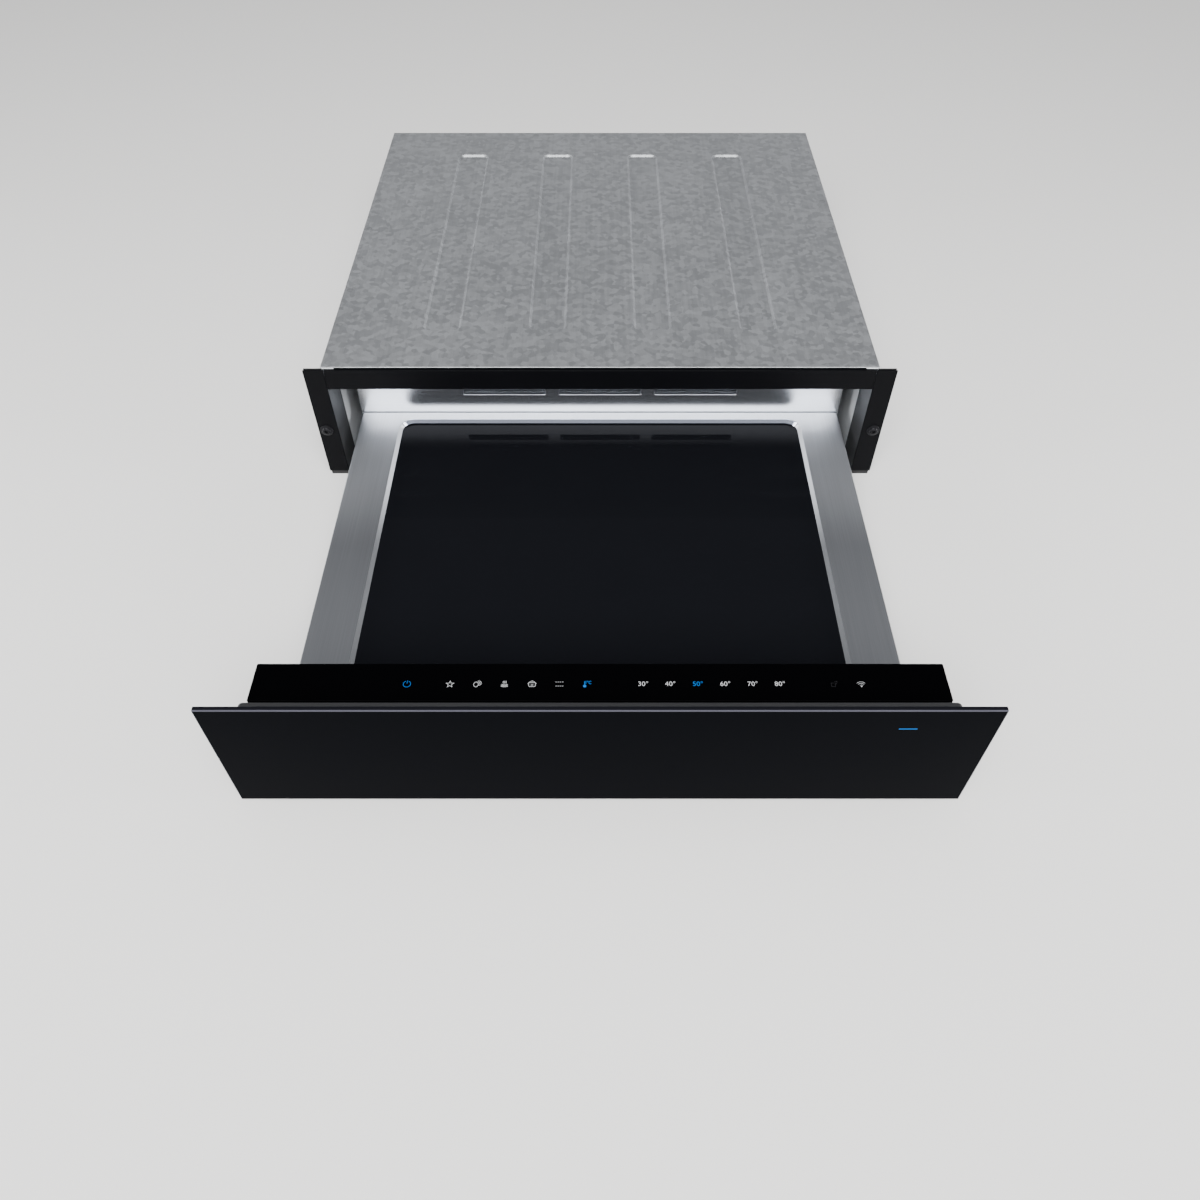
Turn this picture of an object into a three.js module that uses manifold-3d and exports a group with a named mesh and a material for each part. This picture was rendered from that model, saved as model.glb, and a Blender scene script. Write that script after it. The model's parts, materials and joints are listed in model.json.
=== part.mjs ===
/*
 * A built-in warming drawer of the 60 cm class, with its drawer open.
 *
 * Millimetres. +Z is up, +Y points into the cabinet and +X to the right of someone who faces the drawer.
 * The origin is the centre of the housing's underside. The drawer, its runners and their ball cages are
 * drawn where they stand when the drawer is shut, and their groups carry them forward to the open position.
 */

import * as THREE from 'three';
import { mergeVertices } from 'three/addons/utils/BufferGeometryUtils.js';
import Module from 'manifold-3d';

const wasm = await Module();
wasm.setup();

// ---------------------------------------------------------------------------------------------
// Driving dimensions
// ---------------------------------------------------------------------------------------------

const gap = 0.3; // between two pieces that rest against each other
const sheet = 1; // steel sheet of the housing, the tray and the pan

// Front: a glass panel that overlaps the cabinet's front edges
const frontWidth = 594;
const frontHeight = 130;
const frontBottom = 3; // lower edge of the glass above the housing's underside
const frontStandOff = 20; // face of the glass in front of the cabinet, drawer shut
const frontGlass = 4;
const frontBevel = 1;
const sideOverlap = 18; // glass beyond the housing on each side

// Housing
const bodyDepth = 528;
const bodyHeight = 140;
const baseLip = 5; // upturned edge of the base pan
const baseCorner = 3;
const topLip = 12; // inward edge of each side panel, under the cover
const flangeInset = 1; // housing flange inside the edge of the glass
const screwInset = 7.5; // cabinet screw from the outer edge of the flange
const screwHeight = 62;
const screwHead = 4.5; // radius
const screwHeadDepth = 2.8;
const screwShank = 2; // radius
const beadCount = 4; // stiffening beads pressed into the cover
const beadWidth = 40;
const beadLength = 400;
const beadPitch = 110;
const beadDepth = 2.5;
const ventCount = 6; // air slots of each group in the rear panel
const ventWidth = 60;
const ventHeight = 4;
const ventBridge = 6;
const ventBottom = 50;
const ventCentre = 120; // middle of each group from the centre line

// Black trim round the opening
const trimSheet = 1.2;
const returnSheet = 1.5;
const returnDepth = 39.5;
const trimBottom = 5.5;
const railLip = 13.5; // depth of the top rail's two edges

// Drawer front behind the glass
const carrierDepth = 18.9;
const carrierDrop = 21; // top of the carrier below the top of the glass
const carrierWall = 2;
const carrierLip = 8;
const carrierRound = 3;
const carrierInset = 22.1; // each side of the carrier inside the edge of the glass
const railClearance = 3; // top of the carrier to the top rail
const frontBoxDepth = 35.2;
const frontBoxWall = 1.5;
const frontBoxInset = 6.4; // each side of the box inside the carrier
const frontLift = 3; // drawer front above the base pan's edge
const panelDrop = 2; // top of the touch panel below the carrier
const panelGlass = 3;
const panelFrame = 2.7; // thickness of the frame under the touch panel
const panelFrameWidth = 8;
const panelSetBack = 1.1; // front edge of the touch panel behind its frame's
const boardThickness = 1.6;
const boardEdge = 4.5; // edge of the board inside the box, front and rear
const boardInset = 58.5; // each end of the board inside the box's side
const bossHeight = 2.1;
const bossSize = 4;
const lightWidth = 14;
const lightHeight = 2.8;
const lightFromEdge = 67.6; // middle of the status light from the right edge of the glass

// Runners: three members a side, with two ball cages between them
const heldBack = 143; // depth of the housing less the travel of the drawer
const runnerSpace = 19; // outer face of the runner to the outside of the housing
const runnerSteel = 1.2;
const runnerHeight = 28;
const runnerSetBack = 2.2; // front end behind the front edge of the tray
const runnerEnd = 6; // rear end of the fixed member ahead of the power module
const runnerLift = 1; // runner above its bracket's foot
const innerRunnerWidth = 5.6;
const bracketFoot = 11.7;
const bracketSetBack = 3.5; // front end of the bracket behind the runner's
const cageSteel = 0.8;
const cageLength = 90;
const cageClearance = 0.6; // between a cage and the members beside it
const ballRadius = 1.45;
const ballClearance = 0.15;
const ballsInRow = 3;
const outerCageStart = 171.5; // drawer shut, from the front ends of the runners
const innerCageStart = 141.5;

// Tray, hot plate and pan
const traySide = 14.2; // side of the tray to the inside of the housing
const skirtDepth = 6;
const skirtClearance = 1.5; // skirt above the runners
const trayBend = 0.8;
const trayCorner = 3;
const windowSide = 43.6; // opening in the tray for the hot plate, from the tray's edges
const windowFront = 14;
const windowRear = 11.8;
const windowCorner = 16;
const bevelWidth = 3.1; // slope round the hot plate, in plan
const bevelDepth = 4.2;
const plateGlass = 4;
const plateMargin = 8.9; // glass beyond the opening that shows it
const sealWidth = 5;
const supportReach = 3.1; // inner edge of the support inside the visible glass
const heaterRadius = 2;
const heaterRuns = 8;
const heaterMargin = 12; // heating tube inside the edge of the support
const panClearance = 2; // pan above the base pan's edge
const panCorner = 4;

// Rear wall of the drawer with its air slots, and the fan box behind it
const wallDrop = 12; // top of the rear wall below the top of the housing
const wallClearance = 2; // rear wall above the runners
const wallInset = 13; // side of the rear wall to the inside of the housing
const wallLip = 6;
const slotLength = 89.5;
const slotBridge = 14.9;
const slotHeight = 6.2;
const slotRowBridge = 8.1;
const slotColumns = 3;
const slotRows = 2;
const slotBottom = 63.1;
const fanBoxDepth = 64.7;
const fanBoxDrop = 4; // top of the fan box below the top of the rear wall
const fanBoxCorner = 4;
const motorRadius = 24;
const motorLength = 26.7;
const shaftRadius = 3;
const shaftReach = 10; // shaft inside the motor
const impellerDepth = 22;
const impellerClearance = 4; // wheel to motor
const impellerMargin = 7; // wheel to the top and bottom of the fan box
const bladeCount = 18;
const bladeLength = 12;
const bladeSheet = 1;
const bladeAngle = 35; // degrees from radial
const hubRadius = 9;
const airHeaterRadius = 3;
const airHeaterInner = 118; // ends of the heating tube from the side of the fan box
const airHeaterOuter = 20; // its bend from the same side
const airHeaterSpread = 38;
const airHeaterReach = 42;
const airHeaterBend = 9;
const sensorRadius = 2.5;
const sensorLength = 40;
const sensorPlace = 50; // from the side of the fan box
const cutoutRadius = 9;
const cutoutDepth = 7;
const cutoutPlace = 100; // from the side of the fan box

// What is fixed to the housing behind the drawer
const latchSpace = 19; // rear panel to the back of the fan box, drawer shut
const latchDepth = 12.7;
const latchWidth = 50;
const latchHeight = 30;
const latchBottom = 40;
const plungerRadius = 5;
const plungerLength = 11.7;
const plungerTravel = 5;
const moduleSide = 16; // power module to the side panel
const moduleWidth = 57;
const moduleDepth = 65.4;
const moduleHeight = 38.7;
const moduleClearance = 15; // power module to the fan box
const terminalSide = 18;
const terminalWidth = 60;
const terminalDepth = 37.7;
const terminalHeight = 40;
const terminalBottom = 20;
const glandNeck = 7.7; // radius
const glandFlange = 11;
const glandFlangeDepth = 2.5;
const glandBore = 4;

// Facets
const cornerSteps = 4;
const roundSteps = 20;
const tubeSides = 6;

// ---------------------------------------------------------------------------------------------
// Planes and widths that follow from them
// ---------------------------------------------------------------------------------------------

const glassHalf = frontWidth / 2;
const half = glassHalf - sideOverlap; // half of the housing's width
const inside = half - sheet; // inner face of a side panel
const opening = bodyDepth - heldBack; // travel of the drawer
const cabinetPlane = -bodyDepth / 2; // front face of the cabinet, behind the flanges
const rear = bodyDepth / 2;
const rearInside = rear - sheet;
const coverBottom = bodyHeight - sheet;
const panelTop = coverBottom - gap; // top of the side panels
const underLip = panelTop - sheet - gap; // top of what stands under their inward edges
const baseFloor = sheet + gap; // where a piece on the base pan's floor starts

// Front to back, drawer shut
const glassFace = cabinetPlane - frontStandOff;
const glassBack = glassFace + frontGlass;
const carrierFront = glassBack + gap;
const carrierRear = carrierFront + carrierDepth;
const boxFront = carrierRear + gap;
const boxRear = boxFront + frontBoxDepth;
const innerPanelFront = boxRear + gap;
const innerPanelRear = innerPanelFront + sheet;
const trayFront = innerPanelRear + gap;
const fanBoxRear = rearInside - latchSpace;
const fanBoxFront = fanBoxRear - fanBoxDepth;
const wallRear = fanBoxFront - gap;
const wallFront = wallRear - sheet;
const trayRear = wallFront - gap;

// Heights
const frontTop = frontBottom + frontHeight;
const carrierTop = frontTop - carrierDrop;
const frontUnderside = baseLip + frontLift;
const touchTop = carrierTop - panelDrop;
const touchBottom = touchTop - panelGlass;
const panelFrameTop = touchBottom - gap;
const panelFrameBottom = panelFrameTop - panelFrame;
const boxTop = panelFrameBottom - gap;
const footTop = baseFloor + runnerSteel;
const runnerBottom = footTop + runnerLift;
const runnerTop = runnerBottom + runnerHeight;
const trayTop = runnerTop + skirtClearance + skirtDepth;
const skirtBottom = trayTop - skirtDepth;
const bevelBottom = trayTop - bevelDepth;
const plateTop = bevelBottom - gap;
const plateBottom = plateTop - plateGlass;
const supportTop = plateBottom - gap;
const supportHeight = 2 * heaterRadius + gap;
const supportBottom = supportTop - supportHeight;
const panBottom = baseLip + panClearance;
const panTop = trayTop - sheet - gap;
const wallTop = bodyHeight - wallDrop;
const wallBottom = runnerTop + wallClearance;
const fanBoxTop = wallTop - fanBoxDrop;
const fanBoxBottom = wallBottom + 2 * gap;
const fanAxis = (fanBoxTop + fanBoxBottom) / 2;
const latchAxis = latchBottom + latchHeight / 2;

// Runner members from the outside in
const ballSpace = 2 * (ballRadius + ballClearance);
const memberStep = runnerSteel + ballSpace;
const runnerFace = half - runnerSpace;
const outerCageWeb = runnerFace - runnerSteel - cageClearance;
const middleWeb = outerCageWeb - cageSteel - cageClearance;
const innerCageWeb = middleWeb - runnerSteel - cageClearance;
const innerTip = innerCageWeb - cageSteel - cageClearance;
const innerWeb = innerTip - innerRunnerWidth;
const runnerFront = trayFront + runnerSetBack;
const moduleRear = rearInside - 2 * gap - sheet; // ahead of the base pan's rear edge
const moduleFront = moduleRear - moduleDepth;
const runnerRear = moduleFront - runnerEnd;

const trayHalf = inside - traySide;
const panHalf = innerWeb - gap;
const wallHalf = inside - wallInset;
const fanBoxHalf = inside - moduleSide - moduleWidth - moduleClearance;

// The opening in the tray and what follows its outline
const windowHalf = trayHalf - windowSide;
const windowStart = trayFront + windowFront;
const windowEnd = trayRear - windowRear;

// ---------------------------------------------------------------------------------------------
// Shapes
// ---------------------------------------------------------------------------------------------

// One indexed skin, with the vertices that meet merged and the triangles that vanish left out.
function welded(geometry) {
  const bare = geometry.clone();
  bare.deleteAttribute('normal');
  bare.deleteAttribute('uv');
  const merged = mergeVertices(bare, 1e-4);
  const corners = Array.from(merged.index.array);
  const kept = [];
  for (let i = 0; i < corners.length; i += 3) {
    const [a, b, c] = corners.slice(i, i + 3);
    if (a !== b && b !== c && c !== a) kept.push(a, b, c);
  }
  merged.setIndex(kept);
  return merged;
}

function signedVolume(geometry) {
  const place = geometry.getAttribute('position');
  const corners = geometry.index.array;
  const [a, b, c] = [new THREE.Vector3(), new THREE.Vector3(), new THREE.Vector3()];
  let volume = 0;
  for (let i = 0; i < corners.length; i += 3) {
    a.fromBufferAttribute(place, corners[i]);
    b.fromBufferAttribute(place, corners[i + 1]);
    c.fromBufferAttribute(place, corners[i + 2]);
    volume += a.dot(b.cross(c)) / 6;
  }
  return volume;
}

// The skin with every face pointing out of the material.
function outward(geometry) {
  const skin = welded(geometry);
  if (signedVolume(skin) < 0) skin.setIndex(Array.from(skin.index.array).reverse());
  return skin;
}

function mirrored(geometry) {
  return outward(geometry.clone().scale(-1, 1, 1));
}

function solidOf(geometry) {
  const skin = outward(geometry);
  const vertProperties = new Float32Array(skin.getAttribute('position').array);
  const triVerts = new Uint32Array(skin.index.array);
  return new wasm.Manifold(new wasm.Mesh({ numProp: 3, vertProperties, triVerts }));
}

function geometryOf(solid) {
  const { vertProperties, triVerts } = solid.getMesh();
  const geometry = new THREE.BufferGeometry();
  geometry.setAttribute('position', new THREE.BufferAttribute(new Float32Array(vertProperties), 3));
  geometry.setIndex(Array.from(triVerts));
  return geometry;
}

function join(first, ...others) {
  return geometryOf(others.reduce((sum, other) => sum.add(solidOf(other)), solidOf(first)));
}

function cut(first, ...others) {
  return geometryOf(others.reduce((rest, other) => rest.subtract(solidOf(other)), solidOf(first)));
}

// A box between two limits on each axis.
function block([x0, x1], [y0, y1], [z0, z1]) {
  const geometry = new THREE.BoxGeometry(x1 - x0, y1 - y0, z1 - z0);
  return geometry.translate((x0 + x1) / 2, (y0 + y1) / 2, (z0 + z1) / 2);
}

// The corners of a level rounded rectangle, anticlockwise seen from above.
function ring([x0, x1], [y0, y1], z, radius) {
  const points = [];
  const corners = [[x1 - radius, y0 + radius, -90], [x1 - radius, y1 - radius, 0],
    [x0 + radius, y1 - radius, 90], [x0 + radius, y0 + radius, 180]];
  for (const [centreX, centreY, start] of corners) {
    for (let step = 0; step <= cornerSteps; step += 1) {
      const angle = THREE.MathUtils.degToRad(start + (90 * step) / cornerSteps);
      points.push([centreX + radius * Math.cos(angle), centreY + radius * Math.sin(angle), z]);
    }
  }
  return points;
}

// The same outline drawn in by an inset, with its corners to match.
function insetRing([x0, x1], [y0, y1], z, radius, inset) {
  return ring([x0 + inset, x1 - inset], [y0 + inset, y1 - inset], z, Math.max(radius - inset, 0.2));
}

// A skin over rings with equally many corners. The rings follow the surface: up the outside and down the
// inside. A closed skin runs back to its first ring; any other is capped, facing down first and up last.
function loft(rings, closed = false) {
  const count = rings[0].length;
  const corners = [];
  const spans = closed ? rings.length : rings.length - 1;
  for (let i = 0; i < spans; i += 1) {
    const low = i * count;
    const high = ((i + 1) % rings.length) * count;
    for (let j = 0; j < count; j += 1) {
      const next = (j + 1) % count;
      corners.push(low + j, low + next, high + next, low + j, high + next, high + j);
    }
  }
  const last = (rings.length - 1) * count;
  for (let j = 1; j < count - 1 && !closed; j += 1) {
    corners.push(0, j + 1, j, last, last + j, last + j + 1);
  }
  const geometry = new THREE.BufferGeometry();
  geometry.setAttribute('position', new THREE.Float32BufferAttribute(rings.flat(2), 3));
  geometry.setIndex(corners);
  return geometry;
}

// An open-topped tray of sheet with rounded upright corners.
function openBox(xs, ys, [bottom, top], wall, radius) {
  return loft([
    ring(xs, ys, bottom, radius),
    ring(xs, ys, top, radius),
    insetRing(xs, ys, top, radius, wall),
    insetRing(xs, ys, bottom + wall, radius, wall),
  ]);
}

// A frame with a rectangular opening.
function frame(xs, ys, [bottom, top], width, radius) {
  return loft([
    ring(xs, ys, bottom, radius),
    ring(xs, ys, top, radius),
    insetRing(xs, ys, top, radius, width),
    insetRing(xs, ys, bottom, radius, width),
  ], true);
}

// Stands a shape drawn flat on its edge: its y becomes the height and its z runs towards the front.
function upright(geometry) {
  return geometry.rotateX(Math.PI / 2);
}

// A section of [x, z] corners drawn along Y.
function drawn(section, [y0, y1], holes = [], curveSegments = 6) {
  const shape = new THREE.Shape(section.map(([x, z]) => new THREE.Vector2(x, z)));
  shape.holes = holes;
  const geometry = new THREE.ExtrudeGeometry(shape, { depth: y1 - y0, bevelEnabled: false, curveSegments });
  return upright(geometry).translate(0, y1, 0);
}

function rectangle([x0, x1], [z0, z1]) {
  return [[x0, z0], [x1, z0], [x1, z1], [x0, z1]];
}

// A C section: its back at x = web, its two arms reaching to x = tip.
function channel(web, tip, [z0, z1], steel) {
  const inner = web - Math.sign(web - tip) * steel;
  return [[web, z0], [web, z1], [tip, z1], [tip, z1 - steel],
    [inner, z1 - steel], [inner, z0 + steel], [tip, z0 + steel], [tip, z0]];
}

// A shape turned about the Y axis from [radius, y] corners, then moved to its axis.
function turned(profile, [x, z] = [0, 0], segments = roundSteps) {
  const points = profile.map(([radius, y]) => new THREE.Vector2(radius, y));
  return outward(new THREE.LatheGeometry(points, segments)).translate(x, 0, z);
}

function rod(radius, [y0, y1], place) {
  return turned([[0, y0], [radius, y0], [radius, y1], [0, y1]], place);
}

// A slot with round ends, as a hole for a drawn section.
function slotHole(centreX, centreZ, length, height) {
  const radius = height / 2;
  const straight = length / 2 - radius;
  const hole = new THREE.Path();
  hole.moveTo(centreX - straight, centreZ - radius);
  hole.lineTo(centreX + straight, centreZ - radius);
  hole.absarc(centreX + straight, centreZ, radius, -Math.PI / 2, Math.PI / 2);
  hole.lineTo(centreX - straight, centreZ + radius);
  hole.absarc(centreX - straight, centreZ, radius, Math.PI / 2, (3 * Math.PI) / 2);
  return hole;
}

// A tube along straight runs between points, with a round bend at each.
function bentTube(points, radius, bend, steps) {
  const stops = points.map(([x, y, z]) => new THREE.Vector3(x, y, z));
  const path = new THREE.CurvePath();
  let from = stops[0];
  for (let i = 1; i < stops.length - 1; i += 1) {
    const corner = stops[i];
    const before = corner.clone().sub(stops[i - 1]).setLength(bend);
    const after = stops[i + 1].clone().sub(corner).setLength(bend);
    const enter = corner.clone().sub(before);
    const leave = corner.clone().add(after);
    path.add(new THREE.LineCurve3(from, enter));
    path.add(new THREE.QuadraticBezierCurve3(enter, corner, leave));
    from = leave;
  }
  path.add(new THREE.LineCurve3(from, stops[stops.length - 1]));
  const section = new THREE.Shape();
  for (let i = 0; i < tubeSides; i += 1) {
    const angle = (2 * Math.PI * i) / tubeSides;
    section[i ? 'lineTo' : 'moveTo'](radius * Math.cos(angle), radius * Math.sin(angle));
  }
  return outward(new THREE.ExtrudeGeometry(section, { steps, extrudePath: path, bevelEnabled: false }));
}

// Whole numbers from 0 with their places either side of the middle: [-1, 0, 1] for three, and so on.
function centred(count) {
  return Array.from({ length: count }, (_, i) => i - (count - 1) / 2);
}

// ---------------------------------------------------------------------------------------------
// Finishes
// ---------------------------------------------------------------------------------------------

const finishes = {
  brushedSteel: { color: 0xb4b8be, roughness: 0.34, metalness: 1 },
  galvanised: { color: 0xa4a9ad, roughness: 0.5, metalness: 1 },
  zinc: { color: 0xb8bbbd, roughness: 0.4, metalness: 1 },
  blackCoat: { color: 0x131418, roughness: 0.45, metalness: 0.1 },
  blackGlass: { color: 0x111216, roughness: 0.06, metalness: 0 },
  greyMould: { color: 0x393b3d, roughness: 0.6, metalness: 0 },
  blackMould: { color: 0x1d1e20, roughness: 0.6, metalness: 0 },
  paleMould: { color: 0xdedcd4, roughness: 0.55, metalness: 0 },
  blueLight: { color: 0x2a8fe6, roughness: 0.3, metalness: 0 },
  board: { color: 0x1f5a3a, roughness: 0.5, metalness: 0 },
  seal: { color: 0x202022, roughness: 0.85, metalness: 0 },
  insulation: { color: 0xd5cfbd, roughness: 0.95, metalness: 0 },
  heaterTube: { color: 0x5c5f61, roughness: 0.45, metalness: 1 },
  motor: { color: 0x8d9194, roughness: 0.45, metalness: 0.9 },
};

function piece(name, geometry, finish, parent) {
  const mesh = new THREE.Mesh(geometry, new THREE.MeshStandardMaterial(finishes[finish]));
  mesh.name = name;
  parent.add(mesh);
}

// A piece on the right and its mirror image on the left.
function pair(name, geometry, finish, parent) {
  piece(`left_${name}`, mirrored(geometry), finish, parent);
  piece(`right_${name}`, outward(geometry), finish, parent);
}

// ---------------------------------------------------------------------------------------------
// Housing
// ---------------------------------------------------------------------------------------------

const flangeFront = cabinetPlane - sheet;
const trimRear = flangeFront - gap;
const trimFront = trimRear - trimSheet;
const trimInside = inside - gap - returnSheet;
const screwHole = screwShank + 2 * gap;
const screwPlace = [glassHalf - flangeInset - screwInset, screwHeight];
const terminalOuter = inside - terminalSide;
const glandPlace = [terminalOuter - terminalWidth / 2, terminalBottom + terminalHeight / 2];
const plungerFront = fanBoxRear + gap;
const plungerRear = plungerFront + plungerLength;

function basePan() {
  const [edge, front, back] = [inside - gap, cabinetPlane + gap, rearInside - gap];
  return openBox([-edge, edge], [front, back], [0, baseLip], sheet, baseCorner);
}

// Right side: an upright web, a flange in front that screws to the cabinet and an edge under the cover.
function sidePanel() {
  const web = block([inside, half], [flangeFront, rear], [0, panelTop]);
  const flange = block([inside, glassHalf - flangeInset], [flangeFront, cabinetPlane], [0, panelTop]);
  const lip = block([inside - topLip, half], [cabinetPlane, rear], [panelTop - sheet, panelTop]);
  return cut(join(web, flange, lip), rod(screwHole, [flangeFront - sheet, cabinetPlane + sheet], screwPlace));
}

function rearPanel() {
  const edge = inside - gap;
  const holes = [-ventCentre, ventCentre].flatMap((x) => Array.from({ length: ventCount }, (_, i) => (
    slotHole(x, ventBottom + ventHeight * (i + 0.5) + ventBridge * i, ventWidth, ventHeight))));
  const panel = drawn(rectangle([-edge, edge], [gap, underLip]), [rearInside, rear], holes, 4);
  return cut(panel, rod(glandNeck + gap, [rearInside - sheet, rear + sheet], glandPlace));
}

// Top cover with long beads pressed down into it, one sheet thick throughout.
function topCover() {
  const parts = centred(beadCount).map((place) => {
    const xs = [place * beadPitch - beadWidth / 2, place * beadPitch + beadWidth / 2];
    const ys = [-beadLength / 2, beadLength / 2];
    const wall = 0.4 * sheet;
    const dish = loft([
      insetRing(xs, ys, coverBottom - beadDepth, beadDepth * 3, beadDepth),
      ring(xs, ys, coverBottom, beadDepth * 3),
      ring(xs, ys, coverBottom + sheet / 2, beadDepth * 3),
    ]);
    const recess = loft([
      insetRing(xs, ys, bodyHeight - beadDepth, beadDepth * 3, wall + beadDepth),
      insetRing(xs, ys, bodyHeight + beadDepth, beadDepth * 3, wall - beadDepth),
    ]);
    return { dish, recess };
  });
  const plate = block([-half, half], [cabinetPlane, rear], [coverBottom, bodyHeight]);
  return cut(join(plate, ...parts.map((part) => part.dish)), ...parts.map((part) => part.recess));
}

// Right side trim: a plate over the flange and a return into the opening.
function frontTrim() {
  const plate = block([trimInside, glassHalf], [trimFront, trimRear], [trimBottom, underLip]);
  const edge = [trimInside, trimInside + returnSheet];
  const into = block(edge, [trimFront, trimFront + returnDepth], [trimBottom, underLip]);
  return cut(join(plate, into), rod(screwHole, [trimFront - sheet, trimRear + sheet], screwPlace));
}

function frontRail() {
  const [edge, bottom] = [trimInside - gap, carrierTop + railClearance];
  const lipYs = [trimFront, trimFront + railLip];
  return join(
    block([-edge, edge], [trimFront, trimRear], [bottom, underLip]),
    block([-edge, edge], lipYs, [bottom, bottom + trimSheet]),
    block([-edge, edge], lipYs, [underLip - trimSheet, underLip]),
  );
}

// Pan-head screw with a cross recess, through the trim and the flange.
function flangeScrew() {
  const seat = trimFront - gap;
  const face = seat - screwHeadDepth;
  const round = screwHeadDepth / 3;
  const screw = turned([[0, face], [screwHead * 0.6, face], [screwHead * 0.9, face + round],
    [screwHead, face + 2 * round], [screwHead, seat], [screwShank, seat],
    [screwShank, cabinetPlane - gap], [0, cabinetPlane - gap]]);
  const [arm, slit] = [screwHead * 0.55, screwHead * 0.11];
  const depth = [face - round, face + screwHeadDepth / 2];
  const across = block([-arm, arm], depth, [-slit, slit]);
  const upAndDown = block([-slit, slit], depth, [-arm, arm]);
  const [x, z] = screwPlace;
  return cut(screw, across, upAndDown).translate(x, 0, z);
}

function latchBody() {
  const back = rearInside - gap;
  const front = back - latchDepth;
  const zs = [latchBottom, latchBottom + latchHeight];
  const body = block([-latchWidth / 2, latchWidth / 2], [front, back], zs);
  const boreEnd = plungerRear + plungerTravel + gap;
  return cut(body, rod(plungerRadius + gap, [front - sheet, boreEnd], [0, latchAxis]));
}

function latchPlunger() {
  const chamfer = plungerRadius / 5;
  return turned([[0, plungerFront], [plungerRadius - chamfer, plungerFront],
    [plungerRadius, plungerFront + chamfer], [plungerRadius, plungerRear], [0, plungerRear]], [0, latchAxis]);
}

function terminalBox() {
  const xs = [terminalOuter - terminalWidth, terminalOuter];
  const zs = [terminalBottom, terminalBottom + terminalHeight];
  const back = rearInside - gap;
  const round = 3;
  return upright(loft([
    ring(xs, zs, -back, round),
    ring(xs, zs, -back + terminalDepth - round / 2, round),
    insetRing(xs, zs, -back + terminalDepth, round, round / 2),
  ]));
}

function mainsGland() {
  const seat = rear + gap;
  return turned([[glandBore, rearInside], [glandNeck, rearInside], [glandNeck, seat], [glandFlange, seat],
    [glandFlange, seat + glandFlangeDepth], [glandBore, seat + glandFlangeDepth],
    [glandBore, rearInside]], glandPlace);
}

function powerModule() {
  const outer = inside - moduleSide;
  const xs = [-outer, moduleWidth - outer];
  const ys = [moduleFront, moduleRear];
  const round = 3;
  return loft([
    ring(xs, ys, baseFloor, round),
    ring(xs, ys, baseFloor + moduleHeight - round / 2, round),
    insetRing(xs, ys, baseFloor + moduleHeight, round, round / 2),
  ]);
}

const housing = new THREE.Group();
piece('base_pan', basePan(), 'galvanised', housing);
pair('side_panel', sidePanel(), 'galvanised', housing);
piece('rear_panel', rearPanel(), 'galvanised', housing);
piece('top_cover', topCover(), 'galvanised', housing);
pair('front_trim', frontTrim(), 'blackCoat', housing);
piece('front_rail', frontRail(), 'blackCoat', housing);
pair('flange_screw', flangeScrew(), 'blackCoat', housing);
piece('latch_body', latchBody(), 'blackMould', housing);
piece('latch_plunger', latchPlunger(), 'paleMould', housing);
piece('terminal_box', terminalBox(), 'paleMould', housing);
piece('mains_gland', mainsGland(), 'blackMould', housing);
piece('power_module', powerModule(), 'blackMould', housing);

// ---------------------------------------------------------------------------------------------
// Runners
// ---------------------------------------------------------------------------------------------

const armTip = innerWeb + 2;
const runnerYs = [runnerFront, runnerRear];

// The heights of a member, which steps in from the outer member by the balls between them.
function memberZs(level) {
  return [runnerBottom + level * memberStep, runnerTop - level * memberStep];
}

function railBracket() {
  const web = runnerFace + gap;
  const foot = web + bracketFoot;
  const top = runnerTop - runnerSteel / 2;
  return drawn([[web, baseFloor], [foot, baseFloor], [foot, footTop], [web + runnerSteel, footTop],
    [web + runnerSteel, top], [web, top]], [runnerFront + bracketSetBack, runnerRear]);
}

// A strip folded round the next member, with its balls in two rows.
function ballCage(web, level, start) {
  const [low, high] = memberZs(level);
  const rise = runnerSteel + ballSpace / 2;
  const zs = [low + rise - cageSteel / 2, high - rise + cageSteel / 2];
  const from = runnerFront + start;
  const strip = drawn(channel(web, armTip, zs, cageSteel), [from, from + cageLength]);
  const balls = [low + rise, high - rise].flatMap((z) => Array.from({ length: ballsInRow }, (_, i) => (
    new THREE.IcosahedronGeometry(ballRadius, 1)
      .translate((armTip + web - cageSteel) / 2, from + ((i + 0.5) * cageLength) / ballsInRow, z))));
  return join(strip, ...balls);
}

pair('rail_bracket', railBracket(), 'zinc', housing);
const outerMember = drawn(channel(runnerFace, armTip, memberZs(0), runnerSteel), runnerYs);
pair('rail_outer_member', outerMember, 'zinc', housing);

const middleMembers = new THREE.Group();
middleMembers.position.y = -opening / 2;
const middleMember = drawn(channel(middleWeb, armTip, memberZs(1), runnerSteel), runnerYs);
pair('rail_middle_member', middleMember, 'zinc', middleMembers);

const outerCages = new THREE.Group();
outerCages.position.y = -opening / 4;
pair('rail_outer_cage', ballCage(outerCageWeb, 0, outerCageStart), 'zinc', outerCages);

const innerCages = new THREE.Group();
innerCages.position.y = (-opening * 3) / 4;
pair('rail_inner_cage', ballCage(innerCageWeb, 1, innerCageStart), 'zinc', innerCages);

// ---------------------------------------------------------------------------------------------
// Drawer front
// ---------------------------------------------------------------------------------------------

const drawer = new THREE.Group();
drawer.position.y = -opening;

const carrierHalf = glassHalf - carrierInset;
const boxHalf = carrierHalf - frontBoxInset;
const boardHalf = boxHalf - boardInset;
const boardTop = panelFrameBottom - bossHeight - gap;
const boardYs = [boxFront + boardEdge, boxRear - boardEdge];
const panelXs = [-boxHalf - 0.5, boxHalf + 0.5];

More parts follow.
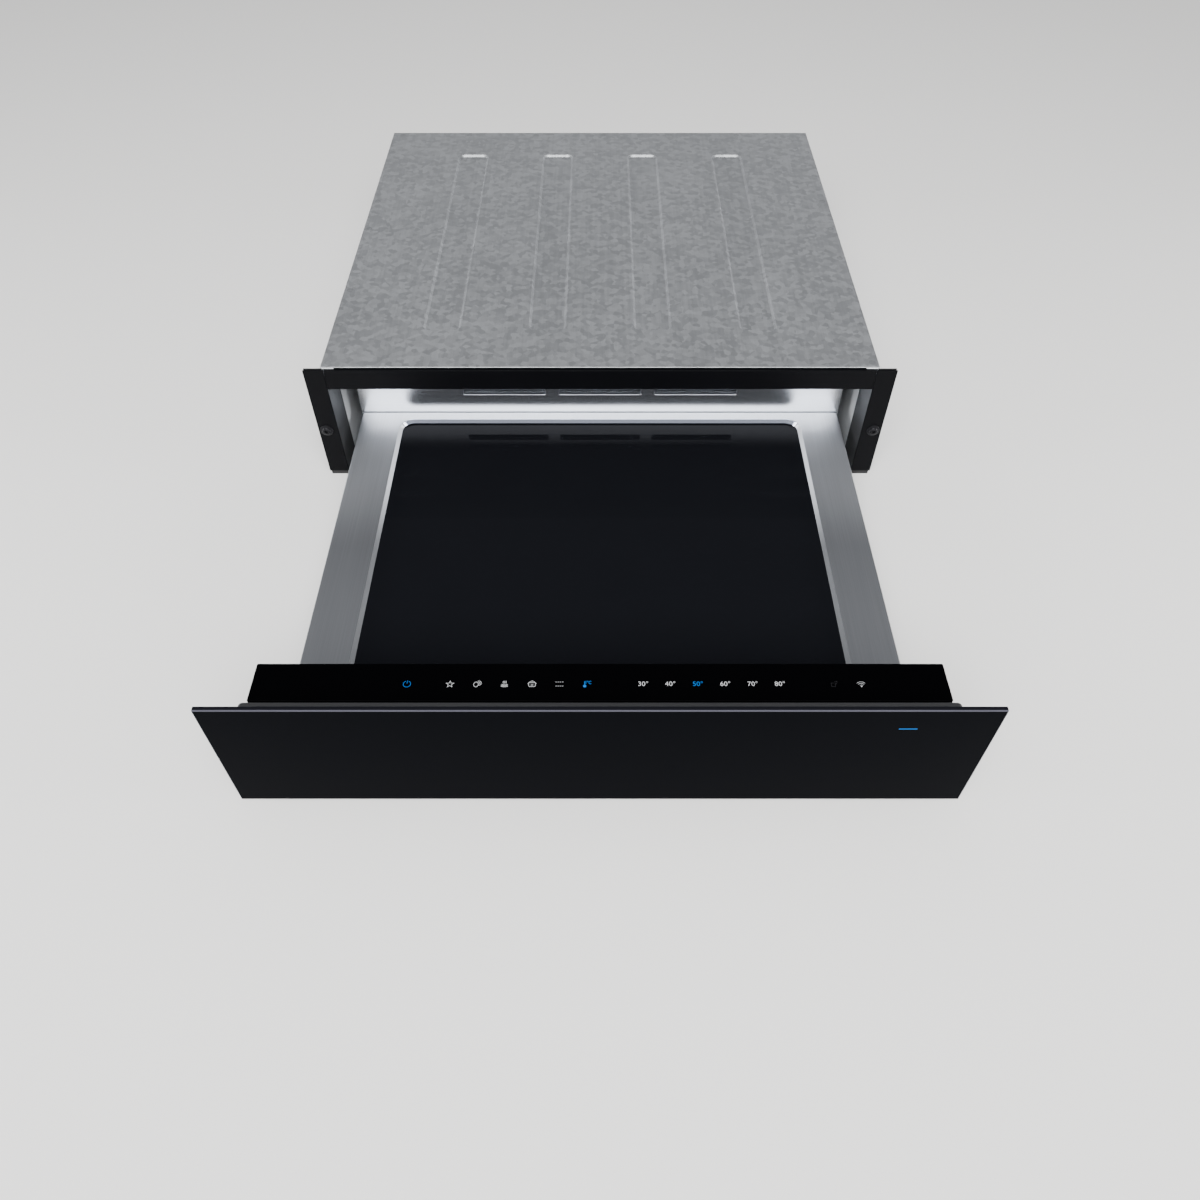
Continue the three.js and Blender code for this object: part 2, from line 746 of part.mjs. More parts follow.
function glassPanel() {
  const [xs, zs, corner] = [[-glassHalf, glassHalf], [frontBottom, frontTop], 1.5 * frontBevel];
  return upright(loft([
    ring(xs, zs, -glassBack, corner),
    ring(xs, zs, -glassFace - frontBevel, corner),
    insetRing(xs, zs, -glassFace, corner, frontBevel),
  ]));
}

// Moulded frame behind the glass, open in front, its rear edge rounded and turned in.
function carrier() {
  const [xs, zs, corner] = [[-carrierHalf, carrierHalf], [frontUnderside, carrierTop], carrierRound + 1];
  const at = (depth, inset) => insetRing(xs, zs, depth - carrierRear, corner, inset);
  const round = Array.from({ length: 4 }, (_, i) => {
    const angle = (i * Math.PI) / 6;
    return at(carrierRound * (1 - Math.cos(angle)), carrierRound * (1 - Math.sin(angle)));
  });
  return upright(loft([
    ...round,
    at(carrierDepth, 0),
    at(carrierDepth, carrierWall),
    at(carrierWall, carrierWall),
    at(carrierWall, carrierWall + carrierLip),
    at(0, carrierWall + carrierLip),
  ], true));
}

function lightPipe() {
  const [centre, top] = [glassHalf - lightFromEdge, carrierTop - carrierWall - gap];
  const xs = [centre - lightWidth / 2, centre + lightWidth / 2];
  return block(xs, [carrierFront, carrierRear - carrierWall - gap], [top - lightHeight, top]);
}

function frontBox() {
  const zs = [frontUnderside, boxTop];
  return openBox([-boxHalf, boxHalf], [boxFront, boxRear], zs, frontBoxWall, 2);
}

// Frame under the touch panel, with four feet that hold the control board.
function panelFrameWithFeet() {
  const rimZs = [panelFrameBottom, panelFrameTop];
  const rim = frame(panelXs, [boxFront, innerPanelRear], rimZs, panelFrameWidth, 2);
  const zs = [panelFrameBottom - bossHeight, panelFrameBottom + panelFrame / 2];
  const feet = [-boardHalf, boardHalf - bossSize].flatMap((x) => [boardYs[0], boardYs[1] - bossSize]
    .map((y) => block([x, x + bossSize], [y, y + bossSize], zs)));
  return join(rim, ...feet);
}

function touchPanel() {
  const ys = [boxFront + panelSetBack, innerPanelRear];
  const edge = 0.4;
  return loft([
    ring(panelXs, ys, touchBottom, 1.5),
    ring(panelXs, ys, touchTop - edge, 1.5),
    insetRing(panelXs, ys, touchTop, 1.5, edge),
  ]);
}

// Circuit board with its supply, relays and connector on the underside.
function controlBoard() {
  const zs = [boardTop - boardThickness, boardTop];
  const parts = [[-0.8, 36, 14], [-0.55, 20, 10], [-0.42, 20, 10], [0.1, 30, 4], [0.75, 44, 9]];
  const middle = (boardYs[0] + boardYs[1]) / 2;
  const bodies = parts.map(([place, length, depth]) => {
    const centre = place * boardHalf;
    const xs = [centre - length / 2, centre + length / 2];
    return block(xs, [middle - 9, middle + 9], [zs[0] - depth, zs[0] + boardThickness / 2]);
  });
  return join(block([-boardHalf, boardHalf], boardYs, zs), ...bodies);
}

function innerPanel() {
  const edge = boxHalf - 2.5;
  return block([-edge, edge], [innerPanelFront, innerPanelRear], [frontUnderside + sheet, boxTop]);
}

piece('front_glass', glassPanel(), 'blackGlass', drawer);
piece('front_carrier', carrier(), 'greyMould', drawer);
piece('status_light_pipe', lightPipe(), 'blueLight', drawer);
piece('front_box', frontBox(), 'blackCoat', drawer);
piece('touch_panel_frame', panelFrameWithFeet(), 'blackMould', drawer);
piece('touch_panel_glass', touchPanel(), 'blackGlass', drawer);
piece('control_board', controlBoard(), 'board', drawer);
piece('front_inner_panel', innerPanel(), 'brushedSteel', drawer);

// ---------------------------------------------------------------------------------------------
// Tray, hot plate and pan
// ---------------------------------------------------------------------------------------------

const seenPlate = { // the part of the glass that the tray leaves open
  xs: [bevelWidth - windowHalf, windowHalf - bevelWidth],
  ys: [windowStart + bevelWidth, windowEnd - bevelWidth],
};
const panYs = [trayFront + sheet + gap, trayRear - sheet - gap];
const fillXs = [sheet + gap - panHalf, panHalf - sheet - gap]; // what fills the pan from wall to wall
const fillYs = [panYs[0] + sheet + gap, panYs[1] - sheet - gap];

// Pressed tray with a skirt round its edge and a slope down to the hot plate, one sheet thick.
function tray() {
  const xs = [-trayHalf, trayHalf];
  const ys = [trayFront, trayRear];
  const windowXs = [-windowHalf, windowHalf];
  const windowYs = [windowStart, windowEnd];
  const edge = (z, inset) => insetRing(windowXs, windowYs, z, windowCorner, inset);
  const slopeSheet = (sheet * Math.hypot(bevelWidth, bevelDepth)) / bevelDepth; // measured level
  return loft([
    ring(xs, ys, skirtBottom, trayCorner),
    ring(xs, ys, trayTop - trayBend, trayCorner),
    insetRing(xs, ys, trayTop, trayCorner, trayBend),
    edge(trayTop, 0),
    edge(bevelBottom, bevelWidth),
    edge(bevelBottom, bevelWidth - slopeSheet),
    edge(trayTop - sheet, (bevelWidth * sheet) / bevelDepth - slopeSheet),
    insetRing(xs, ys, trayTop - sheet, trayCorner, sheet),
    insetRing(xs, ys, skirtBottom, trayCorner, sheet),
  ], true);
}

function hotPlate() {
  const { xs, ys } = seenPlate;
  return loft([
    insetRing(xs, ys, plateBottom, windowCorner / 2, -plateMargin),
    insetRing(xs, ys, plateTop, windowCorner / 2, -plateMargin),
  ]);
}

function plateSeal() {
  const xs = seenPlate.xs.map((x) => x + Math.sign(x) * plateMargin);
  const ys = [seenPlate.ys[0] - plateMargin, seenPlate.ys[1] + plateMargin];
  return frame(xs, ys, [plateTop + gap, trayTop - sheet - gap], sealWidth, windowCorner / 2);
}

function plateSupport() {
  const { xs, ys } = seenPlate;
  return loft([
    ring(fillXs, fillYs, supportBottom, panCorner - sheet),
    ring(fillXs, fillYs, supportTop, panCorner - sheet),
    insetRing(xs, ys, supportTop, windowCorner, supportReach),
    insetRing(xs, ys, supportBottom, windowCorner, supportReach),
  ], true);
}

// Heating tube in level runs from side to side under the hot plate.
function plateHeater() {
  const inset = supportReach + heaterMargin;
  const reach = seenPlate.xs[1] - inset;
  const [start, end] = [seenPlate.ys[0] + inset, seenPlate.ys[1] - inset];
  const pitch = (end - start) / (heaterRuns - 1);
  const level = (supportTop + supportBottom) / 2;
  const points = Array.from({ length: heaterRuns }, (_, run) => {
    const y = start + run * pitch;
    const sign = run % 2 ? 1 : -1;
    return [[sign * reach, y, level], [-sign * reach, y, level]];
  }).flat();
  return bentTube(points, heaterRadius, pitch * 0.45, 14 * heaterRuns);
}

function heaterInsulation() {
  const corner = panCorner - sheet;
  return loft([
    ring(fillXs, fillYs, panBottom + sheet + gap, corner),
    ring(fillXs, fillYs, supportBottom - gap, corner),
  ]);
}

const innerMember = drawn(channel(innerWeb, innerTip, memberZs(2), runnerSteel), [runnerFront, panYs[1]]);
pair('rail_inner_member', innerMember, 'zinc', drawer);
piece('tray_top', tray(), 'brushedSteel', drawer);
piece('hot_plate_glass', hotPlate(), 'blackGlass', drawer);
piece('hot_plate_seal', plateSeal(), 'seal', drawer);
piece('hot_plate_support', plateSupport(), 'galvanised', drawer);
piece('plate_heater', plateHeater(), 'heaterTube', drawer);
piece('heater_insulation', heaterInsulation(), 'insulation', drawer);
const pan = openBox([-panHalf, panHalf], panYs, [panBottom, panTop], sheet, panCorner);
piece('drawer_pan', pan, 'galvanised', drawer);

// ---------------------------------------------------------------------------------------------
// Rear wall and warm-air unit
// ---------------------------------------------------------------------------------------------

const motorRear = fanBoxRear - sheet - gap;
const motorFront = motorRear - motorLength;
const impellerRear = motorFront - impellerClearance;
const impellerFront = impellerRear - impellerDepth;
const impellerRadius = (fanBoxTop - fanBoxBottom) / 2 - sheet - impellerMargin;

function rearWall() {
  const holes = centred(slotColumns).flatMap((column) => Array.from({ length: slotRows }, (_, row) => (
    slotHole(column * (slotLength + slotBridge),
      slotBottom + slotHeight / 2 + row * (slotHeight + slotRowBridge), slotLength, slotHeight))));
  const wall = drawn(rectangle([-wallHalf, wallHalf], [wallBottom, wallTop]), [wallFront, wallRear], holes);
  const lip = block([-wallHalf, wallHalf], [wallFront, wallRear + wallLip], [wallTop - sheet, wallTop]);
  return join(wall, lip);
}

function fanBox() {
  const zs = [fanBoxBottom, fanBoxTop];
  return upright(openBox([-fanBoxHalf, fanBoxHalf], zs, [-fanBoxRear, -fanBoxFront], sheet, fanBoxCorner));
}

function fanMotor() {
  const [bore, boreEnd] = [shaftRadius + gap, motorFront + shaftReach + gap];
  return turned([[0, boreEnd], [bore, boreEnd], [bore, motorFront], [motorRadius, motorFront],
    [motorRadius, motorRear], [0, motorRear]], [0, fanAxis]);
}

// Wheel with a back disc, a front ring and blades set at an angle between them, on its shaft.
function fanImpeller() {
  const bladeYs = [impellerFront + bladeSheet / 2, impellerRear - bladeSheet / 2];
  const blades = Array.from({ length: bladeCount }, (_, i) => (
    block([-bladeLength / 2, bladeLength / 2], bladeYs, [-bladeSheet / 2, bladeSheet / 2])
      .rotateY(THREE.MathUtils.degToRad(bladeAngle))
      .translate(impellerRadius - bladeLength / 2 - bladeSheet, 0, 0)
      .rotateY((i * 2 * Math.PI) / bladeCount)));
  const inner = impellerRadius - bladeLength;
  const ringYs = [impellerFront, impellerFront + bladeSheet];
  const frontRing = turned([[inner, ringYs[0]], [impellerRadius, ringYs[0]], [impellerRadius, ringYs[1]],
    [inner, ringYs[1]], [inner, ringYs[0]]]);
  return join(
    rod(impellerRadius, [impellerRear - bladeSheet, impellerRear]),
    rod(hubRadius, [impellerFront, impellerRear - bladeSheet / 2]),
    rod(shaftRadius, [impellerRear - bladeSheet / 2, motorFront + shaftReach]),
    ...blades,
    frontRing,
  ).translate(0, 0, fanAxis);
}

function airHeater() {
  const [low, high] = [fanAxis - airHeaterSpread / 2, fanAxis + airHeaterSpread / 2];
  const [end, bend] = [fanBoxHalf - airHeaterInner, fanBoxHalf - airHeaterOuter];
  const front = motorRear - airHeaterReach;
  return bentTube([[end, motorRear, low], [end, front, low], [bend, front, low],
    [bend, front, high], [end, front, high], [end, motorRear, high]], airHeaterRadius, airHeaterBend, 48);
}

function temperatureSensor() {
  const nut = 2 * sensorRadius;
  const nutFront = motorRear - 2 * sensorRadius;
  const profile = [[0, motorRear - sensorLength], [sensorRadius, motorRear - sensorLength],
    [sensorRadius, nutFront], [nut, nutFront], [nut, motorRear], [0, motorRear]];
  return turned(profile, [sensorPlace - fanBoxHalf, fanAxis]);
}

piece('drawer_rear_wall', rearWall(), 'brushedSteel', drawer);
piece('fan_box', fanBox(), 'galvanised', drawer);
piece('fan_motor', fanMotor(), 'motor', drawer);
piece('fan_impeller', fanImpeller(), 'blackMould', drawer);
piece('air_heater', airHeater(), 'heaterTube', drawer);
piece('temperature_sensor', temperatureSensor(), 'zinc', drawer);
const cutout = rod(cutoutRadius, [motorRear - cutoutDepth, motorRear], [cutoutPlace - fanBoxHalf, fanAxis]);
piece('thermal_cutout', cutout, 'paleMould', drawer);

const warmingDrawer = new THREE.Group();
warmingDrawer.add(housing, middleMembers, outerCages, innerCages, drawer);

export default warmingDrawer;
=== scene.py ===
"""The finish of a built-in warming drawer with its drawer open, on a pale studio floor.

Metres, +Z up, +Y into the cabinet. The origin is the centre of the housing's underside.
"""

import json
import math

import bmesh
import bpy
from bpy.props import FloatProperty, FloatVectorProperty, IntProperty, PointerProperty
from bpy.types import Operator, Panel, PropertyGroup
from mathutils import Matrix, Vector
from mathutils.geometry import tessellate_polygon

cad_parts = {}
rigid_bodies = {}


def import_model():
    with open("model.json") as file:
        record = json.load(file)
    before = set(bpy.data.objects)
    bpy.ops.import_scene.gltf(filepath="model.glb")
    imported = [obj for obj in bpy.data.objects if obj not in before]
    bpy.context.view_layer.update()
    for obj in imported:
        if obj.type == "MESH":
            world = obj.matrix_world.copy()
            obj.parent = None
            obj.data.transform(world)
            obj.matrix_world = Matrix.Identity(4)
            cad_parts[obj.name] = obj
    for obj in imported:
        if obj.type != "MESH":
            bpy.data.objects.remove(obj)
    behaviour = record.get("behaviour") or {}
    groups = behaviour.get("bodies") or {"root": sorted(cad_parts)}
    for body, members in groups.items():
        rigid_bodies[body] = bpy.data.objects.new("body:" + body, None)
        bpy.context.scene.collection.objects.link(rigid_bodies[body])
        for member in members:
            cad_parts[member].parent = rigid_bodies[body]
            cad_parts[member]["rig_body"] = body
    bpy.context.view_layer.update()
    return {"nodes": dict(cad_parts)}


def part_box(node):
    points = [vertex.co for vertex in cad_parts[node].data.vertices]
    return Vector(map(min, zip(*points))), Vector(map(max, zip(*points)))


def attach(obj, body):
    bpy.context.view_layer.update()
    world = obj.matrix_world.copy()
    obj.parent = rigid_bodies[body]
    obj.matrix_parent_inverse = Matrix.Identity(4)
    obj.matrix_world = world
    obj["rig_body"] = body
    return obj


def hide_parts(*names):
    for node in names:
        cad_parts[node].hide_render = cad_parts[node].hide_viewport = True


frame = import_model()

bl_info = {
    "name": "Warming drawer",
    "version": (1, 0, 0),
    "blender": (4, 5, 0),
    "location": "View3D > Sidebar > Warming drawer",
    "description": "Builds the finish of a built-in warming drawer, piece by piece",
    "category": "Add Mesh",
}

MM = 0.001
FLAT = math.radians(0.6)  # faces that differ by less are one face
ROUNDED = math.radians(38)  # edges sharper than this are rounded
SHARP = math.radians(40)  # edges sharper than this keep their crease


# ---------------------------------------------------------------------------------------------
# What a user would change
# ---------------------------------------------------------------------------------------------

def colour(label, description, default):
    return FloatVectorProperty(name=label, description=description, subtype="COLOR",
                               size=3, min=0.0, max=1.0, default=default)


def length(label, description, millimetres):
    return FloatProperty(name=label, description=description, unit="LENGTH",
                         min=0.0, default=millimetres * MM)


def amount(label, description, default, least=1):
    return IntProperty(name=label, description=description, min=least, default=default)


def wattage(label, description, watts):
    return FloatProperty(name=label, description=description, unit="POWER", min=0.0, default=watts)


class WarmerColours(PropertyGroup):
    """Colours of the drawer's finishes"""

    steel: colour("Stainless steel", "Brushed tray, rear wall and inner front", (0.59, 0.61, 0.648))
    galvanised: colour("Galvanised sheet", "Housing, pan and fan box", (0.50, 0.515, 0.53))
    zinc: colour("Zinc plate", "Runners, brackets and screws", (0.62, 0.63, 0.64))
    trim: colour("Trim", "Black coat round the opening", (0.0022, 0.0023, 0.0030))
    reveal: colour("Reveal", "Satin grey edge folded back into the opening", (0.034, 0.035, 0.037))
    glass: colour("Front glass", "Back-painted glass of the front", (0.0007, 0.0009, 0.0017))
    touch_glass: colour("Touch glass", "Strip that carries the symbols", (0.0006, 0.0006, 0.0008))
    plate_glass: colour("Hot plate", "Glass-ceramic plate in the tray", (0.0042, 0.0045, 0.0058))
    # also painted as the highlight along the front glass's top edge
    glass_edge: colour("Ground edge", "Fine-ground edge of the glass", (0.062, 0.062, 0.078))
    carrier: colour("Carrier", "Grey moulding behind the front glass", (0.0195, 0.020, 0.022))
    moulding: colour("Black moulding", "Black plastic bodies", (0.012, 0.012, 0.013))
    screw: colour("Black screws", "Screws beside the opening", (0.018, 0.018, 0.020))
    seal: colour("Seal", "Rubber seal under the hot plate", (0.014, 0.014, 0.015))
    pale: colour("Pale moulding", "Off-white plastic bodies", (0.70, 0.69, 0.64))
    lacquer: colour("Board", "Lacquer of the circuit board", (0.010, 0.085, 0.035))
    copper: colour("Tracks", "Tracks of the circuit board", (0.03, 0.19, 0.075))
    fibre: colour("Insulation", "Mineral board under the heater", (0.74, 0.70, 0.60))
    # the hollows are painted darker as painted shade
    fibre_hollow_shade: colour("Insulation, dark", "Hollows between its fibres", (0.50, 0.46, 0.37))
    tube: colour("Heating tube", "Oxidised skin of the heaters", (0.17, 0.155, 0.15))
    tube_dark: colour("Heating tube, dark", "Darker patches of the heaters", (0.07, 0.068, 0.066))
    white_light: colour("White symbols", "Symbols that are ready", (0.82, 0.83, 0.85))
    blue_light: colour("Blue symbols", "Symbols and line that are on", (0.002, 0.225, 0.78))
    # symbols that are off are given a faint painted glow
    dim_painted_glow: colour("Dim symbols", "Symbols that are off", (0.030, 0.030, 0.033))
    floor: colour("Floor", "Plain studio floor", (0.74, 0.735, 0.725))


class WarmerSizes(PropertyGroup):
    """Sizes of the shapes that finish the drawer"""

    edge: length("Sheet edge", "Radius of a folded or cut sheet edge", 0.35)
    moulded_edge: length("Moulded edge", "Radius of a moulded edge", 0.8)
    glass_edge: length("Glass edge", "Width of the ground edge of the front glass", 0.27)
    tray_bend: length("Tray bend", "Radius of the bend round the tray", 1.2)
    tray_corner: length("Tray corner", "Outer corner radius of the tray", 3.0)
    window_side: length("Window side", "Tray edge to the hot plate's window, at the sides", 43.6)
    window_front: length("Window front", "Tray edge to the hot plate's window, in front", 14.0)
    window_rear: length("Window rear", "Tray edge to the hot plate's window, behind", 11.8)
    window_corner: length("Window corner", "Corner radius of the hot plate's window", 16.0)
    slope_width: length("Slope width", "Slope round the hot plate, in plan", 3.1)
    slope_depth: length("Slope depth", "Slope round the hot plate, in height", 4.2)
    rear_slope: FloatProperty(name="Rear slope", min=0.3, max=1.0, default=0.65,
                              description="Width of the rear slope as a share of the others")
    slot_length: length("Slot length", "Length of an air slot in the rear wall", 89.5)
    slot_bridge: length("Slot bridge", "Steel between two slots of a row", 14.9)
    slot_height: length("Slot height", "Height of an air slot", 6.2)
    slot_row_bridge: length("Slot row bridge", "Steel between the two rows of slots", 8.1)
    slot_bottom: length("Slot bottom", "Lowest slot above the housing's underside", 63.1)
    slot_corner: length("Slot corner", "Corner radius of an air slot", 0.7)
    slot_bend: length("Slot bend", "Radius of the pressed rim of a slot", 1.0)
    slot_rim: length("Slot rim", "Depth of the pressed rim of a slot", 5.0)
    symbol: length("Symbol", "Width of a symbol on the touch strip", 6.4)
    symbol_stroke: length("Symbol stroke", "Width of a drawn line", 0.41)
    symbol_row: length("Symbol row", "Middle of the symbols from the strip's front edge", 15.8)
    digit: length("Digit", "Height of the numbers", 5.9)
    light_length: length("Status light length", "Lit line on the front", 14.0)
    light_height: length("Status light height", "Lit line on the front", 1.05)
    screw_head: length("Screw head", "Radius of a housing screw's hexagon", 3.0)
    screw_washer: length("Screw washer", "Radius of a housing screw's washer face", 4.2)
    screw_rise: length("Screw rise", "Height of a rear housing screw's head", 2.0)
    side_screw_rise: length("Side screw rise", "Height of a low head on the housing's sides", 0.8)
    screws_in_row: amount("Screws in a row", "Screws along one edge of the cover", 5, least=2)
    trim_screw_head: length("Trim screw", "Radius of the screws beside the opening", 4.2)
    trim_screw_collar: length("Trim screw collar", "Radius of the collar under their heads", 6.6)
    vents_in_group: amount("Air slots", "Slots above each other in the rear panel", 6)
    vent_centre: length("Air slot place", "Middle of the rear panel to the middle of its slots", 120.0)
    vent_bottom: length("Lowest air slot", "Middle of the lowest slot in the rear panel", 52.0)
    vent_pitch: length("Air slot pitch", "From one slot in the rear panel to the next", 10.0)
    vent_length: length("Air slot length", "Length of a rim in the rear panel", 61.0)
    vent_height: length("Air slot height", "Height of a rim in the rear panel", 5.0)
    ball_radius: length("Ball radius", "Radius of a runner's ball", 1.45)
    wheel_depth: length("Fan wheel depth", "From the fan wheel's front ring to its disc", 22.0)
    blades: amount("Fan blades", "Blades round the fan wheel", 18, least=3)
    blade_length: length("Blade length", "Length of a fan blade", 12.0)


class WarmerStudio(PropertyGroup):
    """Light, floor and camera"""

    floor_size: length("Floor size", "Side of the floor", 24000.0)
    key_power: wattage("Key light", "Power of the light above the viewer", 300.0)
    rear_power: wattage("Rear lights", "Power of each of the two lights behind the drawer", 0.8)
    top_power: wattage("Top light", "Power of the light over the drawer", 2.0)
    side_power: wattage("Low lights", "Power of each of the two low lights at the sides", 8.0)
    ambient: FloatProperty(name="Ambient", description="Even light from all round on matt surfaces",
                           min=0.0, max=1.0, default=0.6)
    camera_back: length("Camera distance", "Camera in front of the origin", 1057.1)
    camera_height: length("Camera height", "Camera above the floor", 711.1)
    camera_pitch: FloatProperty(name="Camera pitch", description="Downward tilt of the view",
                                subtype="ANGLE", default=math.radians(49.48))
    camera_lens: FloatProperty(name="Lens", description="Focal length in millimetres on a 36 mm frame",
                               default=28.605)


# ---------------------------------------------------------------------------------------------
# Node trees
# ---------------------------------------------------------------------------------------------

def maths(operation, swapped=False):
    """A method that adds one Math node."""

    def method(number, *others):
        values = (*others, number) if swapped else (number, *others)
        made = number.builder.node("ShaderNodeMath", {"operation": operation}, dict(enumerate(values)))
        return Sock(number.builder, made.outputs[0])

    return method


class Sock:
    """A number on a node's socket. Arithmetic on it adds the Math nodes."""

    def __init__(self, builder, socket):
        self.builder = builder
        self.socket = socket

    __add__ = __radd__ = maths("ADD")
    __sub__ = maths("SUBTRACT")
    __rsub__ = maths("SUBTRACT", swapped=True)
    __mul__ = __rmul__ = maths("MULTIPLY")
    __truediv__ = maths("DIVIDE")
    __pow__ = maths("POWER")
    __gt__ = maths("GREATER_THAN")
    __lt__ = maths("LESS_THAN")
    __abs__ = maths("ABSOLUTE")
    folded = maths("PINGPONG")

    def to_nearest(self, step):
        """How far the number is from the nearest multiple of a step."""
        return self.folded(step / 2)

    def between(self, low, high):
        """0 below low, 1 above high and a smooth step between."""
        made = self.builder.node("ShaderNodeMapRange", {"interpolation_type": "SMOOTHSTEP"},
                                 {"Value": self, "From Min": low, "From Max": high})
        return Sock(self.builder, made.outputs["Result"])


class NodeTree:
    """Adds nodes to a tree."""

    def __init__(self, tree):
        self.tree = tree
        tree.nodes.clear()

    def node(self, kind, settings=None, inputs=None):
        """A node: its settings first, then the values or links of its sockets."""
        made = self.tree.nodes.new(kind)
        for name, value in (settings or {}).items():
            if name == "stops":
                for element, (position, grey) in zip(made.color_ramp.elements, value):
                    element.position = position
                    element.color = (*grey, 1.0)
            else:
                setattr(made, name, value)
        for key, value in (inputs or {}).items():
            if isinstance(value, Sock):
                self.tree.links.new(value.socket, made.inputs[key])
            elif isinstance(value, bpy.types.NodeSocket):
                self.tree.links.new(value, made.inputs[key])
            else:
                made.inputs[key].default_value = value
        return made

    def form(self, kind, settings=None, **inputs):
        """The first output of a node. Socket names are given with underscores for spaces."""
        named = {name.replace("_", " "): value for name, value in inputs.items()}
        return self.node(kind, settings, named).outputs[0]


class Shader(NodeTree):
    """A material made of nodes, with one Principled surface."""

    def __init__(self):
        self.material = bpy.data.materials.new("finish")
        self.material.use_nodes = True
        super().__init__(self.material.node_tree)
        self.output = self.node("ShaderNodeOutputMaterial")

    def place(self):
        return self.node("ShaderNodeTexCoord").outputs["Object"]

    def axes(self):
        parts = self.node("ShaderNodeSeparateXYZ", None, {0: self.place()}).outputs
        return [Sock(self, part) for part in parts]

    def stretched(self, scale):
        """The place times a scale: one for all axes, or one for each."""
        scale = scale if isinstance(scale, tuple) else (scale,) * 3
        return self.form("ShaderNodeMapping", Vector=self.place(), Scale=scale)

    def noise(self, scale, detail=2.0, rough=0.5):
        """Noise; its scale is in waves per metre."""
        return Sock(self, self.form("ShaderNodeTexNoise", {"noise_dimensions": "3D"}, Scale=1.0,
                                    Vector=self.stretched(scale), Detail=detail, Roughness=rough))

    def cells(self, scale):
        made = self.node("ShaderNodeTexVoronoi", {"feature": "F1"},
                         {"Vector": self.stretched(scale), "Scale": 1.0})
        return Sock(self, self.form("ShaderNodeSeparateColor", Color=made.outputs["Color"]))

    def blend(self, factor, first, second):
        """A colour between two, each of them a socket or three numbers."""
        first, second = (part if isinstance(part, bpy.types.NodeSocket) else (*part, 1.0)
                         for part in (first, second))
        made = self.node("ShaderNodeMix", {"data_type": "RGBA"}, {"Factor": factor, 6: first, 7: second})
        return made.outputs[2]

    def tinted(self, factor, base, dark, light):
        """A colour between a darker and a lighter shade of itself."""
        return self.blend(factor, shade(base, dark), shade(base, light))

    def bump(self, height, depth, strength):
        return self.form("ShaderNodeBump", Height=height, Distance=depth, Strength=strength)

    def surface(self, **inputs):
        """Closes the material."""
        values = {name: (*value, 1.0) if isinstance(value, tuple) and len(value) == 3 else value
                  for name, value in inputs.items()}
        principled = self.form("ShaderNodeBsdfPrincipled", **values)
        self.tree.links.new(principled, self.output.inputs["Surface"])
        return self.material


def shade(base, factor):
    return tuple(min(1.0, part * factor) for part in base)


# ---------------------------------------------------------------------------------------------
# Finishes
# ---------------------------------------------------------------------------------------------

COOL = (0.86, 0.90, 1.0)  # what black glass mirrors is a little blue
FINE = 0.04 * MM  # depth of the finest marks


def grain_marks(shader, grain):
    """Long fine scratches along one axis, and a faint cloudiness."""
    thin, wide = [2600.0] * 3, [800.0] * 3
    thin[grain], wide[grain] = 9.0, 4.0
    scratches = shader.noise(tuple(thin), detail=3.0, rough=0.6)
    return scratches * 0.7 + shader.noise(tuple(wide)) * 0.3, shader.noise(6.0)


def brushed_steel(base, rough):
    """Stainless steel, brushed from side to side."""
    shader = Shader()
    mark, clouds = grain_marks(shader, grain=0)
    return shader.surface(Base_Color=shader.tinted(mark.between(0.25, 0.75), base, 0.92, 1.07), Metallic=1.0,
                          Roughness=rough + (mark - 0.5) * 0.12 + (clouds - 0.5) * 0.04,
                          Normal=shader.bump(mark, FINE, 0.4))


def tray_steel(base, low, high, top, depth):
    """Steel brushed from front to back on the tray's face, and drawn smooth on the slope round the plate.
    Light is painted into its colour: the face is painted darker in front and brighter near the rear wall, the
    side slopes carry a painted highlight and the rear slope a painted bluish reflection.
    """
    shader = Shader()
    x, y, z = shader.axes()
    low, high = Vector(low), Vector(high)
    middle, half, margin = (low + high) / 2, (high - low) / 2, 0.3 * MM
    within = (abs(x - middle.x) < half.x + margin) * (abs(y - middle.y) < half.y + margin)
    slope = within * (z < top - 0.12 * MM) * (z > top - depth - 0.5 * MM)
    behind = slope * y.between(high.y - 11 * MM, high.y - 4 * MM)
    beside = slope * (1 - behind)
    near_wall = y.between(high.y - 42 * MM, high.y - 10 * MM)
    # painted light: a ramp from the front towards the rear wall, along which the face's colour is painted
    # brighter
    painted_light_towards_wall = y.between(high.y - 200 * MM, high.y - 80 * MM)
    mark, clouds = grain_marks(shader, grain=1)
    streak = mark.between(0.25, 0.75)
    # painted shade and painted highlight: the face is painted dim in front (rail) and bright in a band near
    # the rear wall (band)
    rail = shader.tinted(streak, base, 0.415, 0.485)
    band = shader.tinted(streak, base, 0.92, 1.07)
    # painted highlight on the side slopes, fading to black towards the front
    bright = shader.blend(painted_light_towards_wall * 0.8 + 0.2, (0.0, 0.0, 0.0), shader.tinted(clouds, base, 1.36, 1.46))
    # the rear slope is painted a bluish grey as a painted reflection
    drawn = shader.blend(behind, bright, (base[0] * 0.80, base[1] * 0.84, base[2] * 0.94))
    rough = 0.50 - near_wall * 0.16 + (mark - 0.5) * 0.12 + (clouds - 0.5) * 0.04
    return shader.surface(Base_Color=shader.blend(slope, shader.blend(painted_light_towards_wall, rail, band), drawn),
                          Metallic=1 - beside * 0.62, Roughness=rough * (1 - slope) + slope * 0.25,
                          Normal=shader.bump(mark * (1 - slope), FINE, 0.4))


